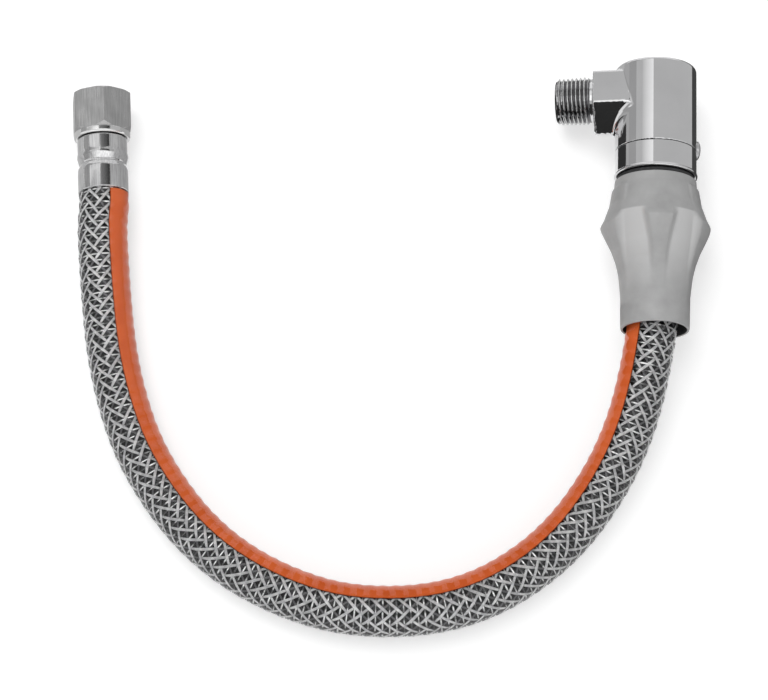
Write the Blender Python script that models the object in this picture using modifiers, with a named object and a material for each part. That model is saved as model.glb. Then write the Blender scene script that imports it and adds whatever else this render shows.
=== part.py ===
"""Flexible gas hose: braided hose, hexagon socket end, and a grip plug locked in an angled gas socket.

The assembly lies on its side on the plane z = 0. The right-hand fitting's axis runs along +Y, and
the left-hand fitting leans a few degrees from it. Each fitting is modelled about its own axis:
local +Z points along the fitting, away from the hose, and parent empties carry it into place.
"""

import math

import bmesh
import bpy
import numpy as np
from mathutils import Matrix, Vector

MM = 0.001
GAP = 0.3 * MM  # clearance between faces that touch on the real hose

# hose, from the inside out
TUBE_RADIUS = 7.4 * MM
TUBE_WALL = 1.2 * MM
TUBE_CLEARANCE = 0.35 * MM
BRAID_WALL = 0.7 * MM
BRAID_RADIUS = TUBE_RADIUS + TUBE_CLEARANCE + BRAID_WALL
BRAID_CLEARANCE = 0.4 * MM
JACKET_WALL = 1.85 * MM
HOSE_RADIUS = BRAID_RADIUS + BRAID_CLEARANCE + JACKET_WALL
HOSE_STEP = 20.0 * MM  # spacing of the points along the tubes
HOSE_LEAD = 6.0 * MM  # straight length of hose in front of each ferrule

# crimp ferrules, both ends alike, measured from the edge that meets the jacket
FERRULE_LENGTH = 24.3 * MM
FERRULE_WALL = 2.05 * MM
FERRULE_BORE = BRAID_RADIUS + BRAID_CLEARANCE
FERRULE_RADIUS = FERRULE_BORE + FERRULE_WALL
CRIMP_AT = 12.5 * MM
CRIMP_DEPTH = 0.85 * MM
BRAID_INSET = 8.7 * MM  # how far the braid's end lies inside
TAIL_RADIUS = FERRULE_BORE - TUBE_CLEARANCE
TAIL_WALL = 2.5 * MM
TAIL_BORE = TAIL_RADIUS - TAIL_WALL

# hexagon socket
COLLAR_RADIUS = FERRULE_RADIUS + 1.4 * MM
COLLAR_LENGTH = 2.7 * MM
HEX_START = FERRULE_LENGTH + GAP + COLLAR_LENGTH
HEX_LENGTH = 17.7 * MM
HEX_END = HEX_START + HEX_LENGTH
HEX_ACROSS_FLATS = 24.0 * MM
HEX_TURN = math.radians(11.5)
THREAD_BORE = 9.3 * MM
THREAD_DEPTH = 13.5 * MM

# plug, measured from the grip's mouth
PLUG_FERRULE_AT = 25.0 * MM
FLANGE_AT = PLUG_FERRULE_AT + FERRULE_LENGTH + GAP
PLUG_FLANGE = 2.0 * MM
SHANK_RADIUS = 7.7 * MM
SHANK_WALL = 2.7 * MM
SHANK_BORE = SHANK_RADIUS - SHANK_WALL
WASHER_AT = FLANGE_AT + PLUG_FLANGE + GAP
WASHER_THICKNESS = 0.7 * MM

# cam sleeve, held between the washer and a snap ring
SLEEVE_AT = WASHER_AT + WASHER_THICKNESS + GAP
SLEEVE_FLANGE = 2.0 * MM
SLEEVE_BORE = SHANK_RADIUS + GAP
SLEEVE_WALL = 2.9 * MM
SLEEVE_RADIUS = SLEEVE_BORE + SLEEVE_WALL
PLUG_FLANGE_RADIUS = SLEEVE_RADIUS + 1.3 * MM
SLEEVE_FLANGE_RADIUS = PLUG_FLANGE_RADIUS + 0.8 * MM
SHOULDER_AT = SLEEVE_AT + SLEEVE_FLANGE + GAP
SNAP_RING_AT = SHOULDER_AT + 2.6 * MM
SNAP_RING_WIDTH = 1.0 * MM
SNAP_RING_SEAT = 0.7 * MM  # how far the ring reaches into the sleeve, and into the shank
SNAP_GROOVE = SNAP_RING_SEAT + GAP  # depth of the groove in either

# grip and gasket
GRIP_NECK = 9.9 * MM  # grip above the sleeve's flange
GRIP_LENGTH = SHOULDER_AT + GRIP_NECK
MOUTH_PLAY = 2.2 * MM
GRIP_MOUTH_BORE = HOSE_RADIUS + MOUTH_PLAY
GRIP_WALL = 1.65 * MM
GRIP_RIBS = 5
RIB_HEIGHT = 8.85 * MM  # of a rib's tip over the mouth's outside
GASKET_AT = GRIP_LENGTH + GAP
GASKET_THICKNESS = 1.6 * MM

# angled gas socket, along the plug
BEZEL_START = GASKET_AT + GASKET_THICKNESS + GAP
BEZEL_LENGTH = 11.7 * MM
SEAM_AT = BEZEL_START + BEZEL_LENGTH
PIN_AT = SEAM_AT + 2.3 * MM
CARTRIDGE_AT = PIN_AT + 4.0 * MM
SLEEVE_END = CARTRIDGE_AT - 0.8 * MM
ORING_RADIUS = 0.85 * MM
ORING_PLACES = {"plug_seal_rear": CARTRIDGE_AT + 1.2 * MM, "plug_seal_front": CARTRIDGE_AT + 4.2 * MM}
SHANK_END = CARTRIDGE_AT + 6.2 * MM
SEAT_STEP_AT = SHANK_END + 0.5 * MM
CARTRIDGE_FLANGE = 1.7 * MM
CARTRIDGE_TOP = SEAT_STEP_AT + 4.5 * MM
CARTRIDGE_SEAL_AT = CARTRIDGE_TOP - 4.3 * MM
ARM_AT = CARTRIDGE_TOP + 7.4 * MM
SOCKET_TOP = ARM_AT + 12.3 * MM
SOCKET_TOP_WALL = 3.2 * MM

# angled gas socket, from the inside out
SEAL_BORE = SHANK_RADIUS + 0.55 * MM
SEAT_BORE = SHANK_RADIUS - 0.7 * MM
SEAT_LIP = 0.6 * MM
SEAT_LIP_RADIUS = SEAT_BORE + 1.2 * MM
BEZEL_BORE = SLEEVE_RADIUS + 0.5 * MM
SPIGOT_WALL = 3.2 * MM
SPIGOT_RADIUS = BEZEL_BORE + SPIGOT_WALL
SOCKET_WALL = 2.5 * MM
SOCKET_RADIUS = SPIGOT_RADIUS + GAP + SOCKET_WALL
BEZEL_LIP = 0.35 * MM
CHAMBER_RADIUS = SPIGOT_RADIUS - 2.3 * MM
CARTRIDGE_SEAL_RADIUS = CHAMBER_RADIUS - 1.15 * MM
GASKET_RADIUS = SOCKET_RADIUS - 0.8 * MM

# valve
POPPET_RADIUS = SEAT_LIP_RADIUS + 1.4 * MM
POPPET_DISC = 2.4 * MM
POPPET_SEAL = 1.2 * MM
WING_RADIUS = SEAT_BORE - 0.4 * MM
WING_THICKNESS = 1.6 * MM
BOSS_RADIUS = 5.2 * MM
BOSS_HEIGHT = 1.7 * MM
SPRING_WIRE = 0.45 * MM
SPRING_RADIUS = BOSS_RADIUS + 1.4 * MM
SPRING_TURNS = 4

# bayonet
UNLOCK_TURN = math.radians(60.0)
UNLOCK_STROKE = 4.0 * MM
PIN_RADIUS = 1.6 * MM
PIN_TIP = SLEEVE_RADIUS - 1.2 * MM
PIN_HEAD_RADIUS = 4.2 * MM
PIN_HEAD_HEIGHT = 1.9 * MM
PIN_AZIMUTH = math.radians(98.0)  # from straight up, towards +X

# inlet arm of the socket, measured from the socket's axis
ARM_DROOP = math.radians(10.7)
ARM_BORE = 6.5 * MM
BLOCK_ACROSS_FLATS = 27.5 * MM
BLOCK_START = SOCKET_RADIUS - 5.4 * MM
BLOCK_END = SOCKET_RADIUS + 8.6 * MM
BLOCK_TURN = math.radians(18.0)
BLOCK_CHAMFER = 1.2 * MM
NECK_END = BLOCK_END + 1.9 * MM
NIPPLE_ROOT_RADIUS = 10.45 * MM
NIPPLE_TIP_RADIUS = 10.2 * MM
NECK_RADIUS = NIPPLE_TIP_RADIUS - 0.8 * MM
NIPPLE_END = NECK_END + 14.8 * MM

# places in the frame of the whole part
RIGHT_AXIS_X = 114.9 * MM
GRIP_MOUTH_Y = -59.6 * MM
LEFT_EDGE_X = -121.1 * MM
LEFT_EDGE_Y = -3.6 * MM
LEFT_LEAN = math.radians(4.85)

COLOURS = {
    "steel": ((0.48, 0.48, 0.48), 0.32, 1.0),
    "ferrule_steel": ((0.52, 0.52, 0.52), 0.25, 1.0),
    "jacket": ((0.62, 0.62, 0.62), 0.15, 0.3),
    "braid_steel": ((0.60, 0.60, 0.60), 0.30, 1.0),
    "tube_steel": ((0.55, 0.55, 0.54), 0.35, 1.0),
    "chrome": ((0.66, 0.66, 0.67), 0.06, 1.0),
    "brass": ((0.70, 0.52, 0.22), 0.30, 1.0),
    "grip_grey": ((0.40, 0.40, 0.40), 0.45, 0.0),
    "rubber": ((0.02, 0.02, 0.02), 0.60, 0.0),
    "spring_steel": ((0.42, 0.42, 0.43), 0.30, 1.0),
}


def empty_scene():
    for old in list(bpy.data.objects):
        bpy.data.objects.remove(old, do_unlink=True)
    groups = {}
    for name in ("flexible_gas_hose", "cutters"):
        groups[name] = bpy.data.collections.new(name)
        bpy.context.scene.collection.children.link(groups[name])
    return groups["flexible_gas_hose"], groups["cutters"]


PARTS, CUTTERS = empty_scene()


def finish_named(name):
    if name in bpy.data.materials:
        return bpy.data.materials[name]
    colour, roughness, metallic = COLOURS[name]
    finish = bpy.data.materials.new(name)
    finish.use_nodes = True
    shader = finish.node_tree.nodes["Principled BSDF"]
    shader.inputs["Base Color"].default_value = (*colour, 1.0)
    shader.inputs["Roughness"].default_value = roughness
    shader.inputs["Metallic"].default_value = metallic
    return finish


def axis_empty(name, location, rotation=(0.0, 0.0, 0.0), parent=None):
    carrier = bpy.data.objects.new(name, None)
    carrier.location = location
    carrier.rotation_euler = rotation
    carrier.parent = parent
    PARTS.objects.link(carrier)
    return carrier


def new_object(name, mesh, parent, finish=None):
    piece = bpy.data.objects.new(name, mesh)
    piece.parent = parent
    if finish is None:
        CUTTERS.objects.link(piece)
        piece.hide_render = True
        piece.display_type = "WIRE"
    else:
        PARTS.objects.link(piece)
        mesh.materials.append(finish_named(finish))
    return piece


def turned(name, profile, parent, finish=None, steps=28):
    """A profile of (radius, height) points turned about local Z.

    The points run down the outer side first. A profile with an inner side is a closed loop,
    and one that starts and ends on the axis stays open.
    """
    points = [(radius, 0.0, height) for radius, height in profile]
    edges = [(i, i + 1) for i in range(len(points) - 1)]
    if profile[0][0] > 0.0:
        edges.append((len(points) - 1, 0))
    mesh = bpy.data.meshes.new(name)
    mesh.from_pydata(points, edges, [])
    piece = new_object(name, mesh, parent, finish)
    screw = piece.modifiers.new("turn", "SCREW")
    screw.axis = "Z"
    screw.steps = steps
    screw.render_steps = steps
    screw.use_smooth_shade = True
    screw.use_merge_vertices = True
    screw.merge_threshold = 0.00001
    return piece


def ring(name, outer, inner, low, high, parent, finish=None, steps=28):
    profile = [(outer, high), (outer, low), (inner, low), (inner, high)]
    return turned(name, profile, parent, finish, steps)


def rod(name, radius, low, high, parent, finish=None, steps=28):
    profile = [(0.0, high), (radius, high), (radius, low), (0.0, low)]
    return turned(name, profile, parent, finish, steps)


def prism(name, across_flats, turn, low, high, parent, chamfer=0.0):
    """A hexagonal bar along local Z, with a corner turned from local +X by the given angle."""
    mesh = bpy.data.meshes.new(name)
    form = bmesh.new()
    corner = across_flats / math.sqrt(3.0)
    first_corner = math.pi / 2  # where the primitive puts it
    spin = Matrix.Rotation(turn - first_corner, 4, "Z")
    place = Matrix.Translation((0.0, 0.0, (low + high) / 2)) @ spin
    bmesh.ops.create_cone(
        form, cap_ends=True, segments=6, radius1=corner, radius2=corner, depth=high - low, matrix=place
    )
    form.to_mesh(mesh)
    form.free()
    piece = new_object(name, mesh, parent)
    if chamfer:
        edge = piece.modifiers.new("chamfer", "BEVEL")
        edge.width = chamfer
        edge.segments = 1
    return piece


def box(name, size, centre, parent, turn=0.0):
    mesh = bpy.data.meshes.new(name)
    form = bmesh.new()
    place = Matrix.Rotation(turn, 4, "Z") @ Matrix.Translation(centre) @ Matrix.Diagonal((*size, 1.0))
    bmesh.ops.create_cube(form, size=1.0, matrix=place)
    form.to_mesh(mesh)
    form.free()
    return new_object(name, mesh, parent)


def combine(piece, other, operation):
    boolean = piece.modifiers.new(operation.lower(), "BOOLEAN")
    boolean.operation = operation
    boolean.object = other
    boolean.solver = "EXACT"


def curve_mesh(name, points, radius, parent, finish, capped=True, sides=4):
    """A round bar swept along a POLY spline, turned into a mesh with its caps joined on."""
    curve = bpy.data.curves.new(name, "CURVE")
    curve.dimensions = "3D"
    curve.twist_mode = "Z_UP"
    curve.bevel_depth = radius
    curve.bevel_resolution = sides
    curve.use_fill_caps = capped
    spline = curve.splines.new("POLY")
    spline.points.add(len(points) - 1)
    for knot, place in zip(spline.points, points):
        knot.co = (*place, 1.0)
    holder = bpy.data.objects.new(name + "_path", curve)
    bpy.context.scene.collection.objects.link(holder)
    bpy.context.view_layer.update()
    shaped = holder.evaluated_get(bpy.context.evaluated_depsgraph_get())
    mesh = bpy.data.meshes.new_from_object(shaped)
    bpy.data.objects.remove(holder)
    bpy.data.curves.remove(curve)
    mesh.name = name
    form = bmesh.new()
    form.from_mesh(mesh)
    bmesh.ops.remove_doubles(form, verts=form.verts, dist=0.000001)
    bmesh.ops.recalc_face_normals(form, faces=form.faces)
    form.to_mesh(mesh)
    form.free()
    mesh.materials.clear()
    return new_object(name, mesh, parent, finish)


# Grip surface: five ribs flare to their tips and fade towards the mouth, with flutes between them.
# Heights are shares of the grip's length, and radii are shares of a rib's height over the mouth's outside.
RIB_PROFILE = [
    (0.0, -0.03), (0.008, 0.0), (0.215, 0.023), (0.347, 0.141), (0.43, 0.288), (0.507, 0.48),
    (0.584, 0.74), (0.645, 0.932), (0.679, 1.0), (0.722, 0.842), (0.823, 0.582), (0.934, 0.446),
    (0.943, 0.356), (1.0, 0.316),
]
FLUTE_PROFILE = [
    (0.0, -0.03), (0.008, 0.0), (0.215, 0.011), (0.43, 0.073), (0.584, 0.164), (0.722, 0.299),
    (0.823, 0.435), (0.836, 0.39), (0.943, 0.322), (1.0, 0.288),
]
RIB_HALF_ANGLE = [(0.0, 12.0), (0.43, 13.5), (0.645, 24.0), (1.0, 25.0)]
GRIP_FACETS = 12 * GRIP_RIBS
RIB_EDGE = 7.0  # degrees over which a rib's side falls to the flute


def grip_radius(share, angle):
    """Outer radius of the grip at a share of its length and an angle from the top rib, in degrees."""
    rib = np.interp(share, *zip(*RIB_PROFILE))
    flute = np.interp(share, *zip(*FLUTE_PROFILE))
    half = np.interp(share, *zip(*RIB_HALF_ANGLE))
    period = 360.0 / GRIP_RIBS
    off = np.abs((angle + period / 2) % period - period / 2)
    fall = np.clip((half + RIB_EDGE - off) / RIB_EDGE, 0.0, 1.0)
    rise = flute + (rib - flute) * fall * fall * (3 - 2 * fall)
    return GRIP_MOUTH_BORE + GRIP_WALL + RIB_HEIGHT * rise


def grip_rest_height():
    """Height of the grip's axis when its two lower ribs stand on the floor."""
    angles = np.arange(GRIP_FACETS) * 360.0 / GRIP_FACETS
    lowest = [
        (grip_radius(share, angles) * np.cos(np.radians(angles))).min() for share, _ in RIB_PROFILE
    ]
    return -float(min(lowest))


HEX_CORNER = HEX_ACROSS_FLATS / math.sqrt(3.0)
NUT_AXIS_Z = HEX_CORNER * math.cos(HEX_TURN)
GRIP_AXIS_Z = grip_rest_height()

# local X is right, local -Y is up, local Z runs along the fitting
LEFT = axis_empty(
    "left_fitting_axis", (LEFT_EDGE_X, LEFT_EDGE_Y, NUT_AXIS_Z), (-math.pi / 2, 0.0, LEFT_LEAN)
)
RIGHT = axis_empty("plug_axis", (RIGHT_AXIS_X, GRIP_MOUTH_Y, GRIP_AXIS_Z), (-math.pi / 2, 0.0, 0.0))
GRIP_TURN = axis_empty("grip_turn_axis", (0.0, 0.0, 0.0), parent=RIGHT)
SOCKET_SLIDE = axis_empty("socket_slide_axis", (0.0, 0.0, 0.0), parent=RIGHT)
VALVE_SLIDE = axis_empty("valve_slide_axis", (0.0, 0.0, 0.0), parent=SOCKET_SLIDE)
ARM = axis_empty(
    "inlet_arm_axis",
    (0.0, 0.0, ARM_AT),
    (math.pi / 2, 0.0, -math.pi / 2 - ARM_DROOP),
    parent=SOCKET_SLIDE,
)

# The hose's route between its two fittings, chosen by hand, in millimetres: x, y, z.
HOSE_ROUTE = [
    (-120.7, -15.6, 13.3), (-119.8, -28.5, 12.5), (-118.6, -39.4, 11.8), (-117.2, -50.3, 11.1),
    (-113.6, -72.4, 10.75), (-107.8, -94.1, 10.75), (-99.3, -114.9, 10.75), (-87.4, -133.8, 10.75),
    (-72.7, -150.5, 10.75), (-55.2, -163.8, 10.75), (-35.9, -173.2, 10.75), (-15.5, -179.0, 10.75),
    (5.3, -180.4, 10.75), (25.7, -178.2, 10.75), (45.1, -171.9, 10.75), (62.2, -161.7, 10.75),
    (77.3, -148.2, 10.8), (89.5, -132.4, 11.9), (99.4, -114.8, 14.3), (106.5, -95.9, 17.3),
    (111.1, -75.9, 20.2), (113.6, -59.7, 22.0), (114.6, -50.5, 22.7),
]


def smooth_path(knots, step):
    """Points a step apart on the natural cubic spline through the knots, by chord length."""
    knots = np.array(knots)
    chord = np.r_[0.0, np.cumsum(np.linalg.norm(np.diff(knots, axis=0), axis=1))]
    span = np.diff(chord)
    count = len(knots)
    matrix = np.eye(count)
    right = np.zeros_like(knots)
    for i in range(1, count - 1):
        matrix[i, i - 1 : i + 2] = (span[i - 1], 2 * (span[i - 1] + span[i]), span[i])
        slope_after = (knots[i + 1] - knots[i]) / span[i]
        slope_before = (knots[i] - knots[i - 1]) / span[i - 1]
        right[i] = 6 * (slope_after - slope_before)
    bend = np.linalg.solve(matrix, right)
    places = np.linspace(0.0, chord[-1], max(2, round(chord[-1] / step) + 1))
    piece = np.clip(np.searchsorted(chord, places, side="right") - 1, 0, count - 2)
    a = (chord[piece + 1] - places)[:, None]
    b = (places - chord[piece])[:, None]
    width = span[piece][:, None]
    return (
        bend[piece] * a**3 / (6 * width)
        + bend[piece + 1] * b**3 / (6 * width)
        + (knots[piece] / width - bend[piece] * width / 6) * a
        + (knots[piece + 1] / width - bend[piece + 1] * width / 6) * b
    )


def hose_points(inset):
    """The route from fitting to fitting, carried straight into both ferrules by the inset."""
    bpy.context.view_layer.update()
    left = LEFT.matrix_world
    right = RIGHT.matrix_world
    knots = [tuple(left @ Vector((0.0, 0.0, -HOSE_LEAD)))]
    knots += [(x * MM, y * MM, z * MM) for x, y, z in HOSE_ROUTE]
    knots.append(tuple(right @ Vector((0.0, 0.0, PLUG_FERRULE_AT - HOSE_LEAD))))
    start = left @ Vector((0.0, 0.0, inset - GAP))
    end = right @ Vector((0.0, 0.0, PLUG_FERRULE_AT + inset - GAP))
    return [tuple(start), *map(tuple, smooth_path(knots, HOSE_STEP)), tuple(end)]


def hose_layer(name, radius, wall, inset, finish):
    tube = curve_mesh(name, hose_points(inset), radius, None, finish, capped=False)
    wall_modifier = tube.modifiers.new("wall", "SOLIDIFY")
    wall_modifier.thickness = wall
    wall_modifier.offset = -1.0
    wall_modifier.use_even_offset = True
    return tube


hose_layer("hose_jacket", HOSE_RADIUS, JACKET_WALL, 0.0, "jacket")
hose_layer("wire_braid", BRAID_RADIUS, BRAID_WALL, BRAID_INSET, "braid_steel")
hose_layer("corrugated_tube", TUBE_RADIUS, TUBE_WALL, BRAID_INSET, "tube_steel")


def ferrule(name, start, parent):
    """Pressed sleeve with one rolled groove that bites into the fitting's tail."""
    outer = [
        (FERRULE_RADIUS - 0.3 * MM, FERRULE_LENGTH), (FERRULE_RADIUS - 0.05 * MM, FERRULE_LENGTH - 0.4 * MM),
        (FERRULE_RADIUS - 0.05 * MM, CRIMP_AT + 6.0 * MM), (FERRULE_RADIUS + 0.15 * MM, CRIMP_AT + 3.0 * MM),
        (FERRULE_RADIUS, CRIMP_AT + 1.6 * MM), (FERRULE_RADIUS - CRIMP_DEPTH, CRIMP_AT + 0.4 * MM),
        (FERRULE_RADIUS - CRIMP_DEPTH, CRIMP_AT - 0.4 * MM), (FERRULE_RADIUS, CRIMP_AT - 2.0 * MM),
        (FERRULE_RADIUS - 0.15 * MM, 0.6 * MM), (FERRULE_RADIUS - 0.4 * MM, 0.0),
    ]
    inner = [
        (FERRULE_BORE, 0.0), (FERRULE_BORE, CRIMP_AT - 1.2 * MM),
        (FERRULE_BORE - CRIMP_DEPTH, CRIMP_AT - 0.4 * MM), (FERRULE_BORE - CRIMP_DEPTH, CRIMP_AT + 0.4 * MM),
        (FERRULE_BORE, CRIMP_AT + 1.2 * MM), (FERRULE_BORE, FERRULE_LENGTH),
    ]
    profile = [(radius, height + start) for radius, height in outer + inner]
    return turned(name, profile, parent, "ferrule_steel", steps=36)


def tail_outline(start):
    """Outer side of a fitting's tail in its ferrule, from the ferrule's end to the hose's end."""
    groove = FERRULE_BORE - CRIMP_DEPTH - GAP
    return [
        (TAIL_RADIUS, start + FERRULE_LENGTH + GAP), (TAIL_RADIUS, start + CRIMP_AT + 1.9 * MM),
        (groove, start + CRIMP_AT + 1.1 * MM), (groove, start + CRIMP_AT - 1.1 * MM),
        (TAIL_RADIUS, start + CRIMP_AT - 1.9 * MM), (TAIL_RADIUS, start + BRAID_INSET),
    ]


def hexagon_socket():
    """Socket turned from hexagon bar: chamfered flats, round collar, female thread bore, tail."""
    collar = FERRULE_LENGTH + GAP
    outline = [
        (HEX_CORNER - 1.3 * MM, HEX_END), (HEX_CORNER + 0.05 * MM, HEX_END - 1.0 * MM),
        (HEX_CORNER + 0.05 * MM, HEX_START + 1.6 * MM), (COLLAR_RADIUS - 0.3 * MM, HEX_START),
        (COLLAR_RADIUS, HEX_START - 0.1 * MM), (COLLAR_RADIUS - 0.3 * MM, collar + 0.5 * MM),
        (COLLAR_RADIUS - 0.7 * MM, collar),
    ]
    bottom = HEX_END - THREAD_DEPTH
    bore = [
        (TAIL_BORE, BRAID_INSET), (TAIL_BORE, bottom - 1.0 * MM), (THREAD_BORE - 1.5 * MM, bottom - GAP),
        (THREAD_BORE, bottom), (THREAD_BORE, HEX_END - 1.4 * MM), (THREAD_BORE + 1.3 * MM, HEX_END),
    ]
    socket = turned("hex_socket", outline + tail_outline(0.0) + bore, LEFT, "steel", steps=36)
    waste = rod("flats_waste", 2 * HEX_CORNER, HEX_START, HEX_END + 2 * MM, LEFT, steps=24)
    keep = prism(
        "flats_keep", HEX_ACROSS_FLATS, HEX_TURN - math.pi / 2, HEX_START - 2 * MM, HEX_END + 4 * MM, LEFT
    )
    combine(waste, keep, "DIFFERENCE")
    combine(socket, waste, "DIFFERENCE")
    return socket


hexagon_socket()
ferrule("socket_ferrule", 0.0, LEFT)
ferrule("plug_ferrule", PLUG_FERRULE_AT, RIGHT)


def plug():
    """Plug shank with two seal grooves, a snap ring groove, a flange and the tail in its ferrule."""
    seal_groove = SHANK_RADIUS - 1.75 * MM
    outline = [(SHANK_RADIUS - 0.5 * MM, SHANK_END), (SHANK_RADIUS, SHANK_END - 0.5 * MM)]
    for place in sorted(ORING_PLACES.values(), reverse=True):
        for radius, side in ((SHANK_RADIUS, 1), (seal_groove, 1), (seal_groove, -1), (SHANK_RADIUS, -1)):
            outline.append((radius, place + side * (ORING_RADIUS + 0.25 * MM)))
    half = SNAP_RING_WIDTH / 2 + GAP
    groove = SHANK_RADIUS - SNAP_GROOVE
    for radius, side in ((SHANK_RADIUS, 1), (groove, 1), (groove, -1), (SHANK_RADIUS, -1)):
        outline.append((radius, SNAP_RING_AT + side * half))
    outline += [
        (SHANK_RADIUS, FLANGE_AT + PLUG_FLANGE), (PLUG_FLANGE_RADIUS, FLANGE_AT + PLUG_FLANGE),
        (PLUG_FLANGE_RADIUS, FLANGE_AT),
    ]
    bore = [
        (TAIL_BORE, PLUG_FERRULE_AT + BRAID_INSET), (TAIL_BORE, FLANGE_AT),
        (SHANK_BORE, FLANGE_AT + PLUG_FLANGE), (SHANK_BORE, SHANK_END),
    ]
    return turned("plug_body", outline + tail_outline(PLUG_FERRULE_AT) + bore, RIGHT, "brass")


def o_ring(name, major, minor, place, parent):
    turns = [math.radians(60.0 * i) for i in range(6)]
    loop = [(major + minor * math.cos(t), place - minor * math.sin(t)) for t in turns]
    return turned(name, loop, parent, "rubber", steps=28)


def split_ring(name, outer, inner, place, width, parent, finish):
    """Flat snap ring, open at the top."""
    flat = ring(name, outer, inner, place - width / 2, place + width / 2, parent, finish)
    opening = box(name + "_opening", (3 * MM, 2 * outer, 4 * width), (0.0, -outer, place), parent)
    combine(flat, opening, "DIFFERENCE")
    return flat


plug()
for seal, place in ORING_PLACES.items():
    o_ring(seal, SHANK_RADIUS - 0.65 * MM, ORING_RADIUS, place, RIGHT)
ring(
    "thrust_washer", PLUG_FLANGE_RADIUS, SHANK_RADIUS + GAP, WASHER_AT, WASHER_AT + WASHER_THICKNESS,
    RIGHT, "brass",
)
split_ring(
    "plug_snap_ring", SLEEVE_BORE + SNAP_RING_SEAT, SHANK_RADIUS - SNAP_RING_SEAT, SNAP_RING_AT,
    SNAP_RING_WIDTH, RIGHT, "spring_steel",
)


def cam_sleeve():
    """Brass sleeve turned by the grip, with a helical groove that draws the socket's pin."""
    recess = SLEEVE_BORE + SNAP_GROOVE
    half = SNAP_RING_WIDTH / 2 + GAP
    outline = [
        (SLEEVE_RADIUS - 0.4 * MM, SLEEVE_END), (SLEEVE_RADIUS, SLEEVE_END - 0.4 * MM),
        (SLEEVE_RADIUS, SLEEVE_AT + SLEEVE_FLANGE), (SLEEVE_FLANGE_RADIUS, SLEEVE_AT + SLEEVE_FLANGE),
        (SLEEVE_FLANGE_RADIUS, SLEEVE_AT), (SLEEVE_BORE, SLEEVE_AT), (SLEEVE_BORE, SNAP_RING_AT - half),
        (recess, SNAP_RING_AT - half), (recess, SNAP_RING_AT + half), (SLEEVE_BORE, SNAP_RING_AT + half),
        (SLEEVE_BORE, SLEEVE_END),
    ]
    sleeve = turned("cam_sleeve", outline, GRIP_TURN, "brass")
    path = []
    for i in range(-3, 13):
        share = i / 12
        height = PIN_AT + UNLOCK_STROKE * max(share, 0.0)
        path.append(pin_point(SLEEVE_RADIUS, height, share * UNLOCK_TURN))
    for beyond in (2.0 * MM, 4.0 * MM):
        path.append(pin_point(SLEEVE_RADIUS, PIN_AT + UNLOCK_STROKE + beyond, UNLOCK_TURN))
    groove = curve_mesh("cam_groove", path, PIN_RADIUS + 0.7 * MM, GRIP_TURN, None, sides=3)
    combine(sleeve, groove, "DIFFERENCE")
    return sleeve


def pin_point(radius, height, turn):
    """A point on the pin's side of the plug axis, turned on from the pin as the grip unlocks."""
    angle = PIN_AZIMUTH + turn
    return (radius * math.sin(angle), -radius * math.cos(angle), height)


def grip():
    """Moulded grip: a lofted ribbed skin, with a stepped cavity for the ferrule and the sleeve."""
    shares = sorted({share for share, _ in RIB_PROFILE + FLUTE_PROFILE})
    form = bmesh.new()
    rings = []
    for share in shares:
        level = []
        for i in range(GRIP_FACETS):
            degrees = 360.0 * i / GRIP_FACETS
            radius = grip_radius(share, degrees)
            angle = math.radians(degrees)
            corner = (radius * math.sin(angle), -radius * math.cos(angle), share * GRIP_LENGTH)
            level.append(form.verts.new(corner))
        rings.append(level)
    for low, high in zip(rings, rings[1:]):
        for i in range(GRIP_FACETS):
            j = (i + 1) % GRIP_FACETS
            form.faces.new((low[i], low[j], high[j], high[i]))
    form.faces.new(list(reversed(rings[0])))
    form.faces.new(rings[-1])
    bmesh.ops.recalc_face_normals(form, faces=form.faces)
    mesh = bpy.data.meshes.new("grip_sleeve")
    form.to_mesh(mesh)
    form.free()
    piece = new_object("grip_sleeve", mesh, GRIP_TURN, "grip_grey")
    wide = SLEEVE_FLANGE_RADIUS + GAP
    neck = SLEEVE_RADIUS + GAP
    past = 2.0 * MM
    hollow = turned(
        "grip_hollow",
        [
            (0.0, GRIP_LENGTH + past), (neck, GRIP_LENGTH + past), (neck, SHOULDER_AT), (wide, SHOULDER_AT),
            (wide, FLANGE_AT - 4.0 * MM), (GRIP_MOUTH_BORE, FLANGE_AT - 8.0 * MM), (GRIP_MOUTH_BORE, -past),
            (0.0, -past),
        ],
        GRIP_TURN,
    )
    combine(piece, hollow, "DIFFERENCE")
    return piece


cam_sleeve()
grip()
ring(
    "grip_gasket", GASKET_RADIUS, SLEEVE_RADIUS + GAP, GASKET_AT, GASKET_AT + GASKET_THICKNESS,
    GRIP_TURN, "rubber",
)


def pin_carrier(name):
    """Frame whose local Z points out of the socket along the bayonet pin."""
    return axis_empty(
        name, (0.0, 0.0, PIN_AT), (math.pi / 2, 0.0, PIN_AZIMUTH), parent=SOCKET_SLIDE
    )


PIN_AXIS = pin_carrier("bayonet_pin_axis")


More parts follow.
